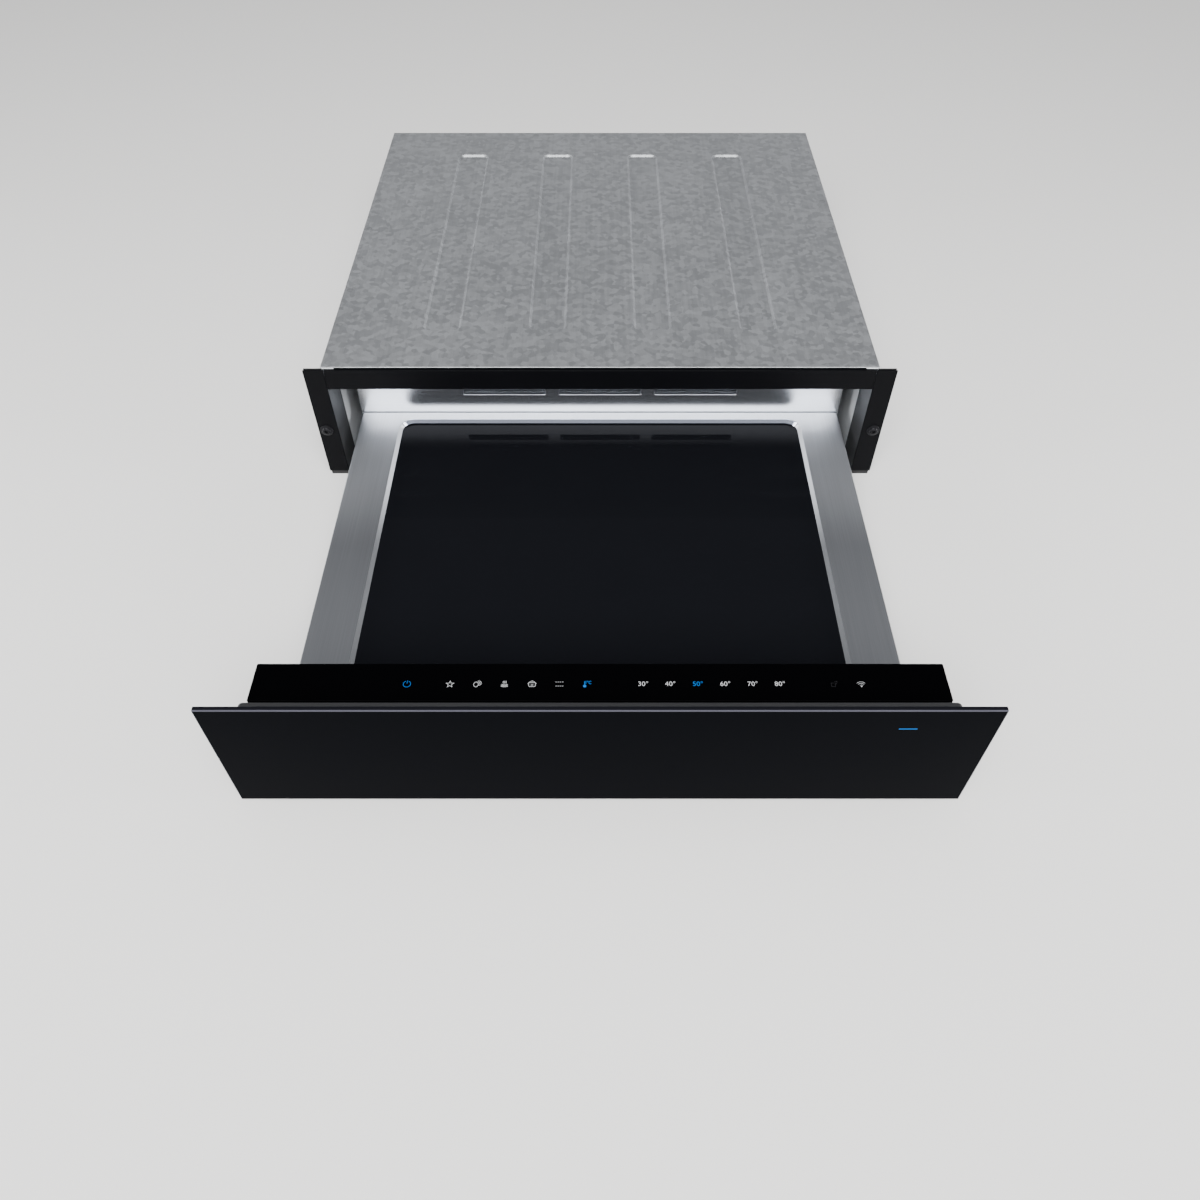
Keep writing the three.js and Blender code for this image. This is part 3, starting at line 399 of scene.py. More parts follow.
def zinc_marks(shader, base):
    """Zinc-coated sheet: its tint, the crystal spangle and rolling marks together, and the rolling marks."""
    rolling = shader.noise((300.0, 6.0, 300.0))
    mark = shader.cells(170.0) * 0.4 + rolling * 0.3 + shader.noise(9.0, detail=3.0) * 0.3
    return shader.tinted(mark.between(0.2, 0.8), base, 0.80, 1.08), mark, rolling


def side_sheet(base, coat, edge):
    """Galvanised side panel whose front flange is coated black, its inner face painted lighter as painted
    light.
    """
    shader = Shader()
    x, y, _ = shader.axes()
    coated = ((abs(x) > edge.x + 0.4 * MM) + (y < edge.y)).between(0.0, 0.5)
    # painted light: the inner face is painted half again lighter and less metallic, as if lit
    inner = (abs(x) < edge.x - 0.5 * MM).between(0.0, 0.5)
    zinc, mark, rolling = zinc_marks(shader, base)
    zinc = shader.blend(inner, zinc, shade(base, 1.5))
    return shader.surface(Base_Color=shader.blend(coated, zinc, coat),
                          Metallic=(0.85 - inner * 0.5) * (1 - coated),
                          Roughness=0.34 + mark * 0.14 + coated * 0.06,
                          Normal=shader.bump(rolling, FINE, 0.5))


def galvanised_sheet(base):
    """Zinc-coated sheet."""
    shader = Shader()
    tint, mark, rolling = zinc_marks(shader, base)
    return shader.surface(Base_Color=tint, Metallic=0.92, Roughness=0.30 + mark * 0.24,
                          Normal=shader.bump(rolling, FINE, 0.5))


def welded_cover(base, low, high):
    """The cover's galvanised sheet, with spot welds in a row inside each long edge and along the rear one."""
    shader = Shader()
    x, y, _ = shader.axes()
    sheet, mark, rolling = zinc_marks(shader, base)
    beside = ((abs(x) - (high.x - 6.5 * MM)) ** 2 + (y - 8 * MM).to_nearest(66 * MM) ** 2) ** 0.5
    behind = ((y - (high.y - 7 * MM)) ** 2 + (x - 4 * MM).to_nearest(90 * MM) ** 2) ** 0.5

    def weld(inner, outer):
        return 2 - beside.between(inner, outer) - behind.between(inner, outer)

    pressed, burnt = weld(1.9 * MM, 2.7 * MM), weld(2.6 * MM, 4.2 * MM)
    tint = shader.blend(burnt * 0.5 - pressed * 0.2, sheet, shade(base, 0.55))
    return shader.surface(Base_Color=tint, Metallic=0.92, Roughness=0.30 + mark * 0.24,
                          Normal=shader.bump(rolling * 0.1 - pressed, 0.25 * MM, 0.6))


def plated_steel(base, rough=0.34):
    """Bright zinc plate with fine drawing marks along its length."""
    shader = Shader()
    drawing = shader.noise((900.0, 10.0, 900.0))
    clouds = shader.noise(22.0, detail=3.0)
    return shader.surface(Base_Color=shader.tinted(clouds * 0.6 + drawing * 0.4, base, 0.84, 1.1),
                          Metallic=0.95, Roughness=rough + clouds * 0.12,
                          Normal=shader.bump(drawing, FINE, 0.5))


def powder_marks(shader, base):
    """Fine powder coat: its tint, the slight wear in its gloss and its soft orange peel."""
    clouds = shader.noise(14.0, detail=3.0)
    peel = shader.bump(shader.noise(900.0, detail=1.0), 0.05 * MM, 0.4)
    return shader.tinted(clouds, base, 0.85, 1.2), clouds, peel


def powder_coat(base, rough=0.42, metallic=0.0):
    """Fine powder coat."""
    shader = Shader()
    tint, clouds, peel = powder_marks(shader, base)
    return shader.surface(Base_Color=tint, Metallic=metallic, Roughness=rough + clouds * 0.1,
                          Specular_IOR_Level=0.06, Normal=peel)


def trim_coat(base, inner, reveal, front):
    """Black coat on the trim's face, satin dark grey on the edge that is folded back into the opening."""
    shader = Shader()
    x, y, _ = shader.axes()
    folded = ((abs(x) < reveal) * (y > front)).between(0.0, 0.5)
    coat, clouds, peel = powder_marks(shader, base)
    return shader.surface(Base_Color=shader.blend(folded, coat, inner),
                          Roughness=0.42 + clouds * 0.1 - folded * 0.1, Specular_IOR_Level=0.06, Normal=peel)


def moulded(base, rough=0.5, grain=1500.0, specular=0.4):
    """Moulded plastic with a fine spark-eroded grain."""
    shader = Shader()
    texture = shader.noise(grain)
    return shader.surface(Base_Color=shader.tinted(shader.noise(11.0), base, 0.9, 1.1),
                          Roughness=rough + (texture - 0.5) * 0.1, Specular_IOR_Level=specular,
                          Normal=shader.bump(texture, FINE, 0.4))


def polished_glass(base, specular, rough=0.03):
    """Black glass: clean and flat, with the faintest haze."""
    shader = Shader()
    haze = shader.noise(16.0, detail=4.0, rough=0.6)
    return shader.surface(Base_Color=shader.tinted(haze, base, 0.94, 1.06),
                          Roughness=rough + haze.between(0.45, 0.8) * 0.035,
                          Specular_IOR_Level=specular, Specular_Tint=COOL)


def front_glass_finish(base, ground_edge_and_highlight, low, high):
    """Black glass whose outline is ground to a fine matt edge; its top edge is painted brighter than the
    others as a painted highlight.
    """
    shader, band = Shader(), 1.0 * MM
    x, y, z = shader.axes()
    middle, half = (low + high) / 2, (high - low) / 2
    at_side = abs(x - middle.x) > half.x - band * 0.92
    at_end = abs(z - middle.z) > half.z - band * 0.92
    in_front = y < low.y + band * 0.95
    ground = (at_side + at_end).between(0.0, 0.5) * (in_front * 0.92 + 0.08)
    # painted highlight: the ground band is painted in full along the top edge and at about a fifth of it
    # elsewhere
    upper = z.between(high.z - band * 1.4, high.z - band * 0.9)
    haze = shader.noise(9.0, detail=4.0, rough=0.6)
    tint = shader.blend(ground * (0.22 + 0.78 * upper), shader.tinted(haze, base, 0.92, 1.1), ground_edge_and_highlight)
    return shader.surface(Base_Color=tint, Roughness=0.035 + haze * 0.03 + ground * 0.3,
                          Specular_IOR_Level=0.011, Specular_Tint=COOL)


def lit(base, strength=1.0):
    """A printed sign lit from behind, a little uneven."""
    shader = Shader()
    glow = shader.tinted(shader.noise(700.0, detail=1.0), base, 0.86, 1.08)
    return shader.surface(Base_Color=shade(base, 0.1), Roughness=0.4, Emission_Color=glow,
                          Emission_Strength=strength, Specular_IOR_Level=0.08)


def lacquered_board(lacquer, copper):
    """Circuit board: lacquer with lighter copper tracks in a grid of cells."""
    shader = Shader()
    tracks = shader.cells(220.0).between(0.55, 0.6)
    return shader.surface(Base_Color=shader.blend(tracks, lacquer, copper), Roughness=0.35,
                          Normal=shader.bump(tracks, 0.03 * MM, 0.6))


def mineral_board(dark, pale):
    """Pale pressed mineral fibre, the hollows between its fibres painted darker as painted shade."""
    shader = Shader()
    fibres = shader.noise((500.0, 180.0, 500.0), detail=5.0, rough=0.7)
    return shader.surface(Base_Color=shader.blend(fibres, dark, pale), Roughness=0.95,
                          Normal=shader.bump(fibres, 0.3 * MM, 0.6))


def oxidised_tube(dark, pale):
    """Heating tube, dark and mottled from heat."""
    shader = Shader()
    mottle = shader.noise(60.0, detail=4.0)
    return shader.surface(Base_Color=shader.blend(mottle, dark, pale), Metallic=0.8,
                          Roughness=0.38 + mottle * 0.2, Normal=shader.bump(mottle, 0.08 * MM, 0.4))


def tray_window():
    """The opening in the tray: its lowest and highest (x, y), its level and how deep its slope goes."""
    size = sizes()
    low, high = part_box("tray_top")
    return ((low.x + size.window_side, low.y + size.window_front),
            (high.x - size.window_side, high.y - size.window_rear), high.z, size.slope_depth)


def make_finishes(tone):
    """Every finish by the name that the pieces use."""
    cover_low, cover_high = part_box("top_cover")
    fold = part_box("right_front_trim")[0] + Vector((1.6 * MM, 1.4 * MM, 0.0))  # where the trim is folded back
    flange = Vector((cover_high.x, cover_low.y, 0.0))
    finishes = {
        "tray steel": tray_steel(tone.steel, *tray_window()),
        "wall steel": brushed_steel(tone.steel, rough=0.24),
        "panel steel": brushed_steel(tone.steel, rough=0.32),
        "side sheet": side_sheet(tone.galvanised, tone.trim, flange),
        "galvanised": galvanised_sheet(tone.galvanised),
        "cover": welded_cover(tone.galvanised, cover_low, cover_high),
        "zinc": plated_steel(tone.zinc),
        "bright ball": plated_steel(shade(tone.zinc, 1.15), rough=0.12),
        "motor can": plated_steel(shade(tone.zinc, 0.6), rough=0.4),
        "trim": powder_coat(tone.trim),
        "side trim": trim_coat(tone.trim, tone.reveal, fold.x, fold.y),
        "box coat": powder_coat(shade(tone.trim, 1.3), rough=0.5),
        "black screw": powder_coat(tone.screw, rough=0.26, metallic=0.7),
        "front glass": front_glass_finish(tone.glass, tone.glass_edge, *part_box("front_glass")),
        "touch glass": polished_glass(tone.touch_glass, specular=0.02),
        "plate glass": polished_glass(tone.plate_glass, specular=0.035, rough=0.035),
        "carrier": moulded(tone.carrier),
        "moulding": moulded(tone.moulding),
        "pale moulding": moulded(tone.pale, rough=0.45),
        "seal": moulded(tone.seal, rough=0.75, grain=800.0, specular=0.25),
        "white light": lit(tone.white_light),
        "blue light": lit(tone.blue_light),
        # painted glow: symbols that are off glow faintly
        "dim painted glow": lit(tone.dim_painted_glow, strength=0.6),
        "board": lacquered_board(tone.lacquer, tone.copper),
        "fibre": mineral_board(tone.fibre_hollow_shade, tone.fibre),
        "heating tube": oxidised_tube(tone.tube_dark, tone.tube),
    }
    for name, material in finishes.items():
        material.name = name
    return finishes


FINISHES = {}


# ---------------------------------------------------------------------------------------------
# Shapes
# ---------------------------------------------------------------------------------------------

def sizes():
    return bpy.context.scene.warmer_sizes


def colours():
    return bpy.context.scene.warmer_colours


def in_scene(name, data):
    made = bpy.data.objects.new(name, data)
    bpy.context.scene.collection.objects.link(made)
    return made


def add_piece(name, mesh, finish, like, *replaced):
    """A finished mesh in place, with the body of a node, standing for the nodes it replaces."""
    piece = in_scene(name, mesh)
    mesh.materials.clear()
    mesh.materials.append(FINISHES[finish])
    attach(piece, frame["nodes"][like]["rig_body"])
    if replaced:
        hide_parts(*replaced)


def evaluated_mesh(holder):
    """The mesh that an object makes. The object is removed."""
    graph = bpy.context.evaluated_depsgraph_get()
    mesh = bpy.data.meshes.new_from_object(holder.evaluated_get(graph), depsgraph=graph)
    bpy.data.objects.remove(holder)
    return mesh


def smoothed(mesh):
    """Smooth but for its sharp edges."""
    mesh.polygons.foreach_set("use_smooth", [True] * len(mesh.polygons))
    mesh.set_sharp_from_angle(angle=SHARP)
    return mesh


def settled(mesh, edge=0.0, segments=2):
    """The mesh with its sharp edges rounded to a radius, if any, and its flat faces kept flat."""
    holder = in_scene("holder", smoothed(mesh))
    if edge:
        bevel = holder.modifiers.new("bevel", "BEVEL")
        bevel.width, bevel.segments = edge, segments
        bevel.limit_method, bevel.angle_limit = "ANGLE", ROUNDED
    weighted = holder.modifiers.new("normals", "WEIGHTED_NORMAL")
    weighted.keep_sharp = True
    result = evaluated_mesh(holder)
    bpy.data.meshes.remove(mesh)
    return result


def cad_copy(node):
    """A node's mesh with its triangles merged into whole faces."""
    work = bmesh.new()
    work.from_mesh(frame["nodes"][node].data)
    bmesh.ops.remove_doubles(work, verts=work.verts, dist=1e-6)
    bmesh.ops.dissolve_limit(work, angle_limit=FLAT, verts=work.verts, edges=work.edges)
    return mesh_of(node, work)


def mesh_of(name, work):
    mesh = bpy.data.meshes.new(name)
    work.to_mesh(mesh)
    work.free()
    return mesh


def soften(node, finish, edge, segments=2):
    """Stands for a node with the same shape, its sharp edges rounded and inside the node's own box."""
    mesh = settled(cad_copy(node), edge, segments)
    low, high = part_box(node)
    for vertex in mesh.vertices:
        vertex.co = [min(max(place, least), most) for place, least, most in zip(vertex.co, low, high)]
    add_piece(f"{node}_skin", mesh, finish, node, node)


def dress(finish, *nodes):
    """Gives carried-over nodes their finish."""
    for node in nodes:
        for slot in frame["nodes"][node].material_slots:
            slot.material = FINISHES[finish]


def rounded_ring(low, high, z, radius, steps=10):
    """Corners of a level rounded rectangle, anticlockwise seen from above."""
    points = []
    for x, y, start in ((high[0] - radius, low[1] + radius, -90), (high[0] - radius, high[1] - radius, 0),
                        (low[0] + radius, high[1] - radius, 90), (low[0] + radius, low[1] + radius, 180)):
        for step in range(steps + 1):
            angle = math.radians(start + 90 * step / steps)
            points.append(Vector((x + radius * math.cos(angle), y + radius * math.sin(angle), z)))
    return points


def inset_ring(low, high, z, corner, inset):
    """The same outline drawn in by an inset, its corners to match."""
    radius = max(corner - inset, 0.2 * MM)
    return rounded_ring((low[0] + inset, low[1] + inset), (high[0] - inset, high[1] - inset), z, radius)


def loft(name, rings, closed=False):
    """A skin over rings with equally many corners: up the outside, down the inside, capped if open."""
    count = len(rings[0])
    vertices = [point for ring in rings for point in ring]
    faces = []
    spans = len(rings) if closed else len(rings) - 1
    for i in range(spans):
        low, high = i * count, ((i + 1) % len(rings)) * count
        faces += [(low + j, low + (j + 1) % count, high + (j + 1) % count, high + j) for j in range(count)]
    if not closed:
        faces.append(tuple(reversed(range(count))))
        faces.append(tuple(range(len(vertices) - count, len(vertices))))
    mesh = bpy.data.meshes.new(name)
    mesh.from_pydata(vertices, [], faces)
    mesh.validate()
    return mesh


def lofted(name, low, high, corner, profile):
    """A rounded rectangle through (inset, level) pairs."""
    return settled(loft(name, [inset_ring(low, high, level, corner, inset) for inset, level in profile]))


def lofted_upright(name, low, high, corner, profile, closed=False):
    """The same standing on its edge, through (inset, y) pairs. Its low and high corners are (x, z) pairs."""
    mesh = loft(name, [inset_ring(low, high, -y, corner, inset) for inset, y in profile], closed)
    mesh.transform(Matrix.Rotation(math.pi / 2, 4, "X"))
    return settled(mesh)


def quarter_turn(steps, first=0):
    """Angles from 0 to a quarter turn, from a first step on."""
    return [math.pi / 2 * step / steps for step in range(first, steps + 1)]


def quarter(start, end, about):
    """Points (inset, z) of a quarter circle round a centre, from one point to another."""
    centre = Vector(about)
    first, last = Vector(start) - centre, Vector(end) - centre
    return [tuple(centre + first * math.cos(angle) + last * math.sin(angle)) for angle in quarter_turn(5)]


def bridge(work, first, second, closed=True):
    """Faces between two rows of corners."""
    count = len(first)
    for i in range(count if closed else count - 1):
        j = (i + 1) % count
        work.faces.new((first[i], first[j], second[j], second[i]))


def channel(near, far, low, high, sheet):
    """Section of a folded channel: its web at `far` and its two arms reaching back to `near`."""
    web = far - sheet
    return [(near, low), (far, low), (far, high), (near, high), (near, high - sheet),
            (web, high - sheet), (web, low + sheet), (near, low + sheet)]


def folded_sheet(section, start, end, along, edge):
    """A section of corners drawn out along X or Y, its edges eased. Its corners are (y, z) or (x, z)."""
    work = bmesh.new()
    ends = [[work.verts.new((place, a, b) if along == "X" else (a, place, b)) for a, b in section]
            for place in (start, end)]
    bridge(work, *ends)
    work.faces.new(ends[0])
    work.faces.new(reversed(ends[1]))
    bmesh.ops.recalc_face_normals(work, faces=work.faces)
    return settled(mesh_of("folded sheet", work), edge)


# ---------------------------------------------------------------------------------------------
# Drawer front
# ---------------------------------------------------------------------------------------------

class FrontGlass(Operator):
    """Glass of the drawer's front, its edge ground, with the lit status line on its face"""

    bl_idname = "warmer.front_glass"
    bl_label = "Front glass"

    def execute(self, context):
        low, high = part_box("front_glass")
        low.y += 0.05 * MM  # room for the status line on its face
        edge = sizes().glass_edge
        corner, bend = 1.5 * edge, 0.3 * edge
        profile = [(bend, high.y), (0.0, high.y - bend), (0.0, low.y + edge + bend / 2),
                   (bend * 0.3, low.y + edge), (edge - bend * 0.4, low.y + bend * 0.6),
                   (edge + bend * 0.4, low.y)]
        glass = lofted_upright("front glass", (low.x, low.z), (high.x, high.z), corner, profile)
        add_piece("front_glass_panel", glass, "front glass", "front_glass", "front_glass")

        pipe_low, pipe_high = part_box("status_light_pipe")
        middle, top = (pipe_low.x + pipe_high.x) / 2, pipe_high.z
        half, height = sizes().light_length / 2, sizes().light_height
        profile = [(0.0, low.y + 0.3 * MM), (0.0, low.y - 0.02 * MM), (0.02 * MM, low.y - 0.04 * MM)]
        line = lofted_upright("status line", (middle - half, top - height), (middle + half, top),
                              height / 2, profile)
        add_piece("status_line", line, "blue light", "status_light_pipe")
        dress("blue light", "status_light_pipe")
        return {"FINISHED"}


class FrontCarrier(Operator):
    """Grey moulding between the glass and the box, its rear edge rounded and turned in"""

    bl_idname = "warmer.front_carrier"
    bl_label = "Front carrier"

    def execute(self, context):
        low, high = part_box("front_carrier")
        wall, lip, bend, corner, ease = 2.0 * MM, 8.0 * MM, 3.0 * MM, 4.0 * MM, 0.3 * MM
        back, inner = high.y, high.y - wall
        profile = [(bend * (1 - math.sin(angle)), back - bend * (1 - math.cos(angle)))
                   for angle in quarter_turn(8)]
        profile += [(0.0, low.y + ease), (ease, low.y), (wall, low.y), (wall, inner), (wall + lip, inner),
                    (wall + lip, back)]
        mesh = lofted_upright("carrier", (low.x, low.z), (high.x, high.z), corner, profile, closed=True)
        add_piece("carrier_moulding", mesh, "carrier", "front_carrier", "front_carrier")
        return {"FINISHED"}


class FrontBox(Operator):
    """Box behind the front, the frame under the touch strip and the steel panel that closes the box"""

    bl_idname = "warmer.front_box"
    bl_label = "Front box"

    def execute(self, context):
        soften("front_box", "box coat", sizes().edge)
        soften("touch_panel_frame", "moulding", sizes().edge)
        soften("front_inner_panel", "panel steel", sizes().edge * 0.6)
        dress("board", "control_board")
        return {"FINISHED"}


class TouchStrip(Operator):
    """Black glass strip that carries the symbols, its edges polished round"""

    bl_idname = "warmer.touch_strip"
    bl_label = "Touch strip"

    def execute(self, context):
        low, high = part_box("touch_panel_glass")
        edge, corner = 0.4 * MM, 1.0 * MM
        profile = [(edge * 0.4, low.z), (0.0, low.z + edge * 0.4)]
        profile += quarter((0.0, high.z - edge), (edge, high.z), (edge, high.z - edge))
        mesh = lofted("touch strip", low, high, corner, profile)
        add_piece("touch_strip", mesh, "touch glass", "touch_panel_glass", "touch_panel_glass")
        return {"FINISHED"}


# Symbols are drawn in a square of 1, its middle at (0, 0), and scaled to their width.

def arc(centre, radius, start, end, steps=14):
    """Points of an arc, in degrees anticlockwise from the right; radius may be (x, y)."""
    across, up = radius if isinstance(radius, tuple) else (radius, radius)
    angles = (math.radians(start + (end - start) * step / steps) for step in range(steps + 1))
    return [(centre[0] + across * math.cos(angle), centre[1] + up * math.sin(angle)) for angle in angles]


def stroke(work, points, width, closed=False):
    """Adds a flat line of even width, 1 unit thick, along points."""
    path = [Vector(point) for point in points]
    count = len(path)
    left, right = [], []
    for i, point in enumerate(path):
        before = path[i - 1] if closed or i else None
        after = path[(i + 1) % count] if closed or i < count - 1 else None
        into = (point - before).normalized() if before is not None else (after - point).normalized()
        out = (after - point).normalized() if after is not None else into
        side = Vector((-(into + out).y, (into + out).x)).normalized()
        reach = width / 2 / max(0.35, side.dot(Vector((-into.y, into.x))))
        left.append(point + side * reach)
        right.append(point - side * reach)
    columns = [[work.verts.new((*corner, level)) for corner, level in
                ((left[i], 0.0), (right[i], 0.0), (right[i], 1.0), (left[i], 1.0))] for i in range(count)]
    for i in range(count if closed else count - 1):
        here, there = columns[i], columns[(i + 1) % count]
        for side in range(4):
            work.faces.new((here[side], here[(side + 1) % 4], there[(side + 1) % 4], there[side]))
    if not closed:
        work.faces.new(columns[0])
        work.faces.new(reversed(columns[-1]))


def spot(work, centre, radius):
    """Adds a flat round spot, 1 unit thick."""
    middle = Vector((centre[0], centre[1], 0.5))
    bmesh.ops.create_cone(work, cap_ends=True, segments=16, radius1=radius, radius2=radius, depth=1.0,
                          matrix=Matrix.Translation(middle))


def power_sign(work, pen):
    stroke(work, arc((0, 0), 0.44, 112, 428, 40), pen * 0.85)
    stroke(work, [(0, 0.5), (0, 0.08)], pen * 0.85)


def star_sign(work, pen):
    corners = []
    for i in range(10):
        radius = 0.48 if i % 2 == 0 else 0.205
        angle = math.radians(90 + 36 * i)
        corners.append((radius * math.cos(angle), radius * math.sin(angle) - 0.03))
    stroke(work, corners, pen * 0.8, closed=True)


def plates_sign(work, pen):
    stroke(work, arc((-0.16, -0.06), (0.28, 0.36), 0, 360, 28)[:-1], pen * 0.85, closed=True)
    stroke(work, arc((0.19, 0.13), (0.27, 0.31), -95, 130, 20), pen * 0.85)
    stroke(work, arc((0.17, 0.12), (0.12, 0.15), -70, 110, 14), pen * 0.7)


def stack_sign(work, pen):
    for level in (-0.34, -0.2, -0.06):
        reach = 0.44 - abs(level + 0.34) * 0.25
        stroke(work, arc((0, level + 0.07), (reach, 0.13), 200, 340, 14), pen)
    for x in (-0.17, 0.0, 0.17):
        steam = [(x + 0.03 * math.sin(step * 1.6), 0.08 + 0.075 * step) for step in range(6)]
        stroke(work, steam, pen * 0.85)


def pot_sign(work, pen):
    stroke(work, [(-0.42, 0.20), (-0.40, -0.26), (-0.32, -0.38), (0.32, -0.38), (0.40, -0.26), (0.42, 0.20)],
           pen * 0.85, closed=True)
    stroke(work, arc((0, 0.20), (0.32, 0.22), 12, 168, 12), pen * 0.7)
    spot(work, (0, 0.46), pen * 0.6)
    for side in (-1, 1):
        stroke(work, [(side * 0.42, 0.04), (side * 0.52, 0.06)], pen)
    for level in (-0.06, -0.22):
        stroke(work, [(-0.15, level), (0.15, level)], pen * 0.6)


def shelves_sign(work, pen):
    for y in (0.3, -0.3):
        for x in (-0.39, -0.13, 0.13, 0.39):
            stroke(work, [(x - 0.09, y), (x + 0.09, y)], pen * 0.65)


def warmth_sign(work, pen):
    stroke(work, [(-0.34, -0.16), (-0.34, 0.40)], pen * 1.5)
    spot(work, (-0.34, -0.3), 0.20)
    for y in (0.12, 0.26, 0.40):
        stroke(work, [(-0.26, y), (-0.12, y)], pen * 0.7)
    stroke(work, arc((0.02, 0.38), 0.07, 0, 360, 14)[:-1], pen * 0.6, closed=True)
    stroke(work, arc((0.32, 0.22), (0.16, 0.20), 45, 315, 16), pen * 0.9)


def remote_sign(work, pen):
    stroke(work, [(0.10, -0.38), (-0.36, -0.38), (-0.36, 0.14), (-0.06, 0.14)], pen)
    stroke(work, [(0.10, -0.38), (0.10, -0.02)], pen)
    stroke(work, [(0.02, 0.30), (0.40, 0.30), (0.26, 0.44)], pen)
    stroke(work, [(0.34, 0.06), (0.12, 0.06), (0.22, -0.06)], pen)


def signal_sign(work, pen):
    spot(work, (0, -0.36), 0.085)
    for radius in (0.26, 0.49, 0.72):
        stroke(work, arc((0, -0.40), radius, 46, 134, 16), pen * 0.55)


SYMBOLS = (  # the sign, its light and its place along the strip, in millimetres from the middle
    ("power", power_sign, "blue light", -148.9), ("favourite", star_sign, "white light", -115.7),
    ("plates", plates_sign, "white light", -94.6), ("stack", stack_sign, "white light", -73.6),
    ("pot", pot_sign, "white light", -52.4), ("shelves", shelves_sign, "white light", -31.3),
    ("warmth", warmth_sign, "blue light", -9.6), ("remote", remote_sign, "dim painted glow", 180.7),
    ("signal", signal_sign, "white light", 201.4),
)
DEGREES = ((30, 33.3), (40, 54.3), (50, 75.5), (60, 96.7), (70, 117.8), (80, 138.8))
CHOSEN_DEGREES = 50
SIGN_LIFT = 0.02 * MM
SIGN_THICKNESS = 0.05 * MM
THINNED = 0.03 * MM  # taken off the numbers' outline


def sign_row():
    """The middle of the row of symbols on the strip: its y and its level."""
    low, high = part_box("touch_panel_glass")
    return low.y + sizes().symbol_row, high.z + SIGN_LIFT


class Symbols(Operator):
    """Lit symbols of the touch strip"""

    bl_idname = "warmer.symbols"
    bl_label = "Symbols"

    def execute(self, context):
        row, level = sign_row()
        width = sizes().symbol
        for name, draw, light, place in SYMBOLS:
            work = bmesh.new()
            draw(work, sizes().symbol_stroke / width)
            scale = Matrix.Diagonal((width, width, SIGN_THICKNESS, 1.0))
            work.transform(Matrix.Translation((place * MM, row, level)) @ scale)
            bmesh.ops.recalc_face_normals(work, faces=work.faces)
            add_piece(f"{name}_symbol", mesh_of(name, work), light, "status_light_pipe")
        return {"FINISHED"}


class Degrees(Operator):
    """Numbers of the warming levels, the chosen one lit blue"""

    bl_idname = "warmer.degrees"
    bl_label = "Degrees"

    def execute(self, context):
        row, level = sign_row()
        for degrees, place in DEGREES:
            text = bpy.data.curves.new("degrees", "FONT")
            text.body = f"{degrees}\N{DEGREE SIGN}"
            text.align_x = text.align_y = "CENTER"
            text.size = sizes().digit
            text.space_character = 1.02
            text.offset = -THINNED
            text.extrude = SIGN_THICKNESS / 2
            mesh = evaluated_mesh(in_scene("holder", text))
            mesh.transform(Matrix.Translation((place * MM, row, level + SIGN_THICKNESS / 2)))
            light = "blue light" if degrees == CHOSEN_DEGREES else "white light"
            add_piece(f"degrees_{degrees}", mesh, light, "status_light_pipe")
        return {"FINISHED"}


# ---------------------------------------------------------------------------------------------
# Tray, hot plate and rear wall
# ---------------------------------------------------------------------------------------------

class Tray(Operator):
    """Pressed stainless tray: a bent skirt round it and a slope down to the hot plate"""

    bl_idname = "warmer.tray"
    bl_label = "Tray"

    def execute(self, context):
        size = sizes()
        low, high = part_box("tray_top")
        window_low, window_high, top, depth = tray_window()
        width, bend = size.slope_width, size.tray_bend
        sheet, turn, hem, smallest = 1.0 * MM, 1.0 * MM, 0.2 * MM, 0.2 * MM
        lean = math.atan2(depth, width)

        def edge(z, inset):
            return inset_ring(low, high, z, size.tray_corner, inset)

        def window(z, inset):
            corner = max(size.window_corner - inset, smallest)
            return rounded_ring((window_low[0] + inset, window_low[1] + inset),
                                (window_high[0] - inset, window_high[1] - inset * size.rear_slope), z, corner)

        outer = [edge(low.z + hem, hem), edge(low.z + 1.5 * hem, 0.0)]
        outer += [edge(z, inset) for inset, z in quarter((0.0, top - bend), (bend, top), (bend, top - bend))]
        # the upper bend into the slope turns about a point below the sheet's face
        slope = []
        for step in range(5):
            angle = lean * step / 4
            slope.append(window(top - turn * (1 - math.cos(angle)),
                                turn * (math.sin(angle) - math.tan(lean / 2))))
        slope.append(window(top - depth, width))
        level_sheet = sheet / math.sin(lean)
        under = [window(top - depth, width - level_sheet),
                 window(top - sheet, width * sheet / depth - level_sheet),
                 edge(top - sheet, bend), edge(top - bend, sheet), edge(low.z, sheet), edge(low.z, hem)]
        mesh = settled(loft("tray", outer + slope + under, closed=True))
        add_piece("steel_tray", mesh, "tray steel", "tray_top", "tray_top")
        return {"FINISHED"}


class HotPlate(Operator):
    """Glass-ceramic plate in the tray, and what lies under it"""

    bl_idname = "warmer.hot_plate"
    bl_label = "Hot plate"

    def execute(self, context):
        low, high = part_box("hot_plate_glass")
        edge, corner = 0.6 * MM, 16.9 * MM
        profile = [(edge, low.z), (0.0, low.z + edge), (0.0, high.z - edge), (edge, high.z)]
        mesh = lofted("hot plate", low, high, corner, profile)
        add_piece("hot_plate", mesh, "plate glass", "hot_plate_glass", "hot_plate_glass")
        dress("seal", "hot_plate_seal")
        dress("galvanised", "hot_plate_support")
        dress("heating tube", "plate_heater")
        dress("fibre", "heater_insulation")
        return {"FINISHED"}


def slot_ring(centre, size, corner, grow, y):
    """Outline of a slot in an upright plane, grown by a margin."""
    half = Vector((size[0] / 2 + grow, size[1] / 2 + grow))
    flat = rounded_ring(Vector(centre) - half, Vector(centre) + half, 0.0, corner + grow, steps=5)
    return [Vector((point.x, y, point.y)) for point in flat]


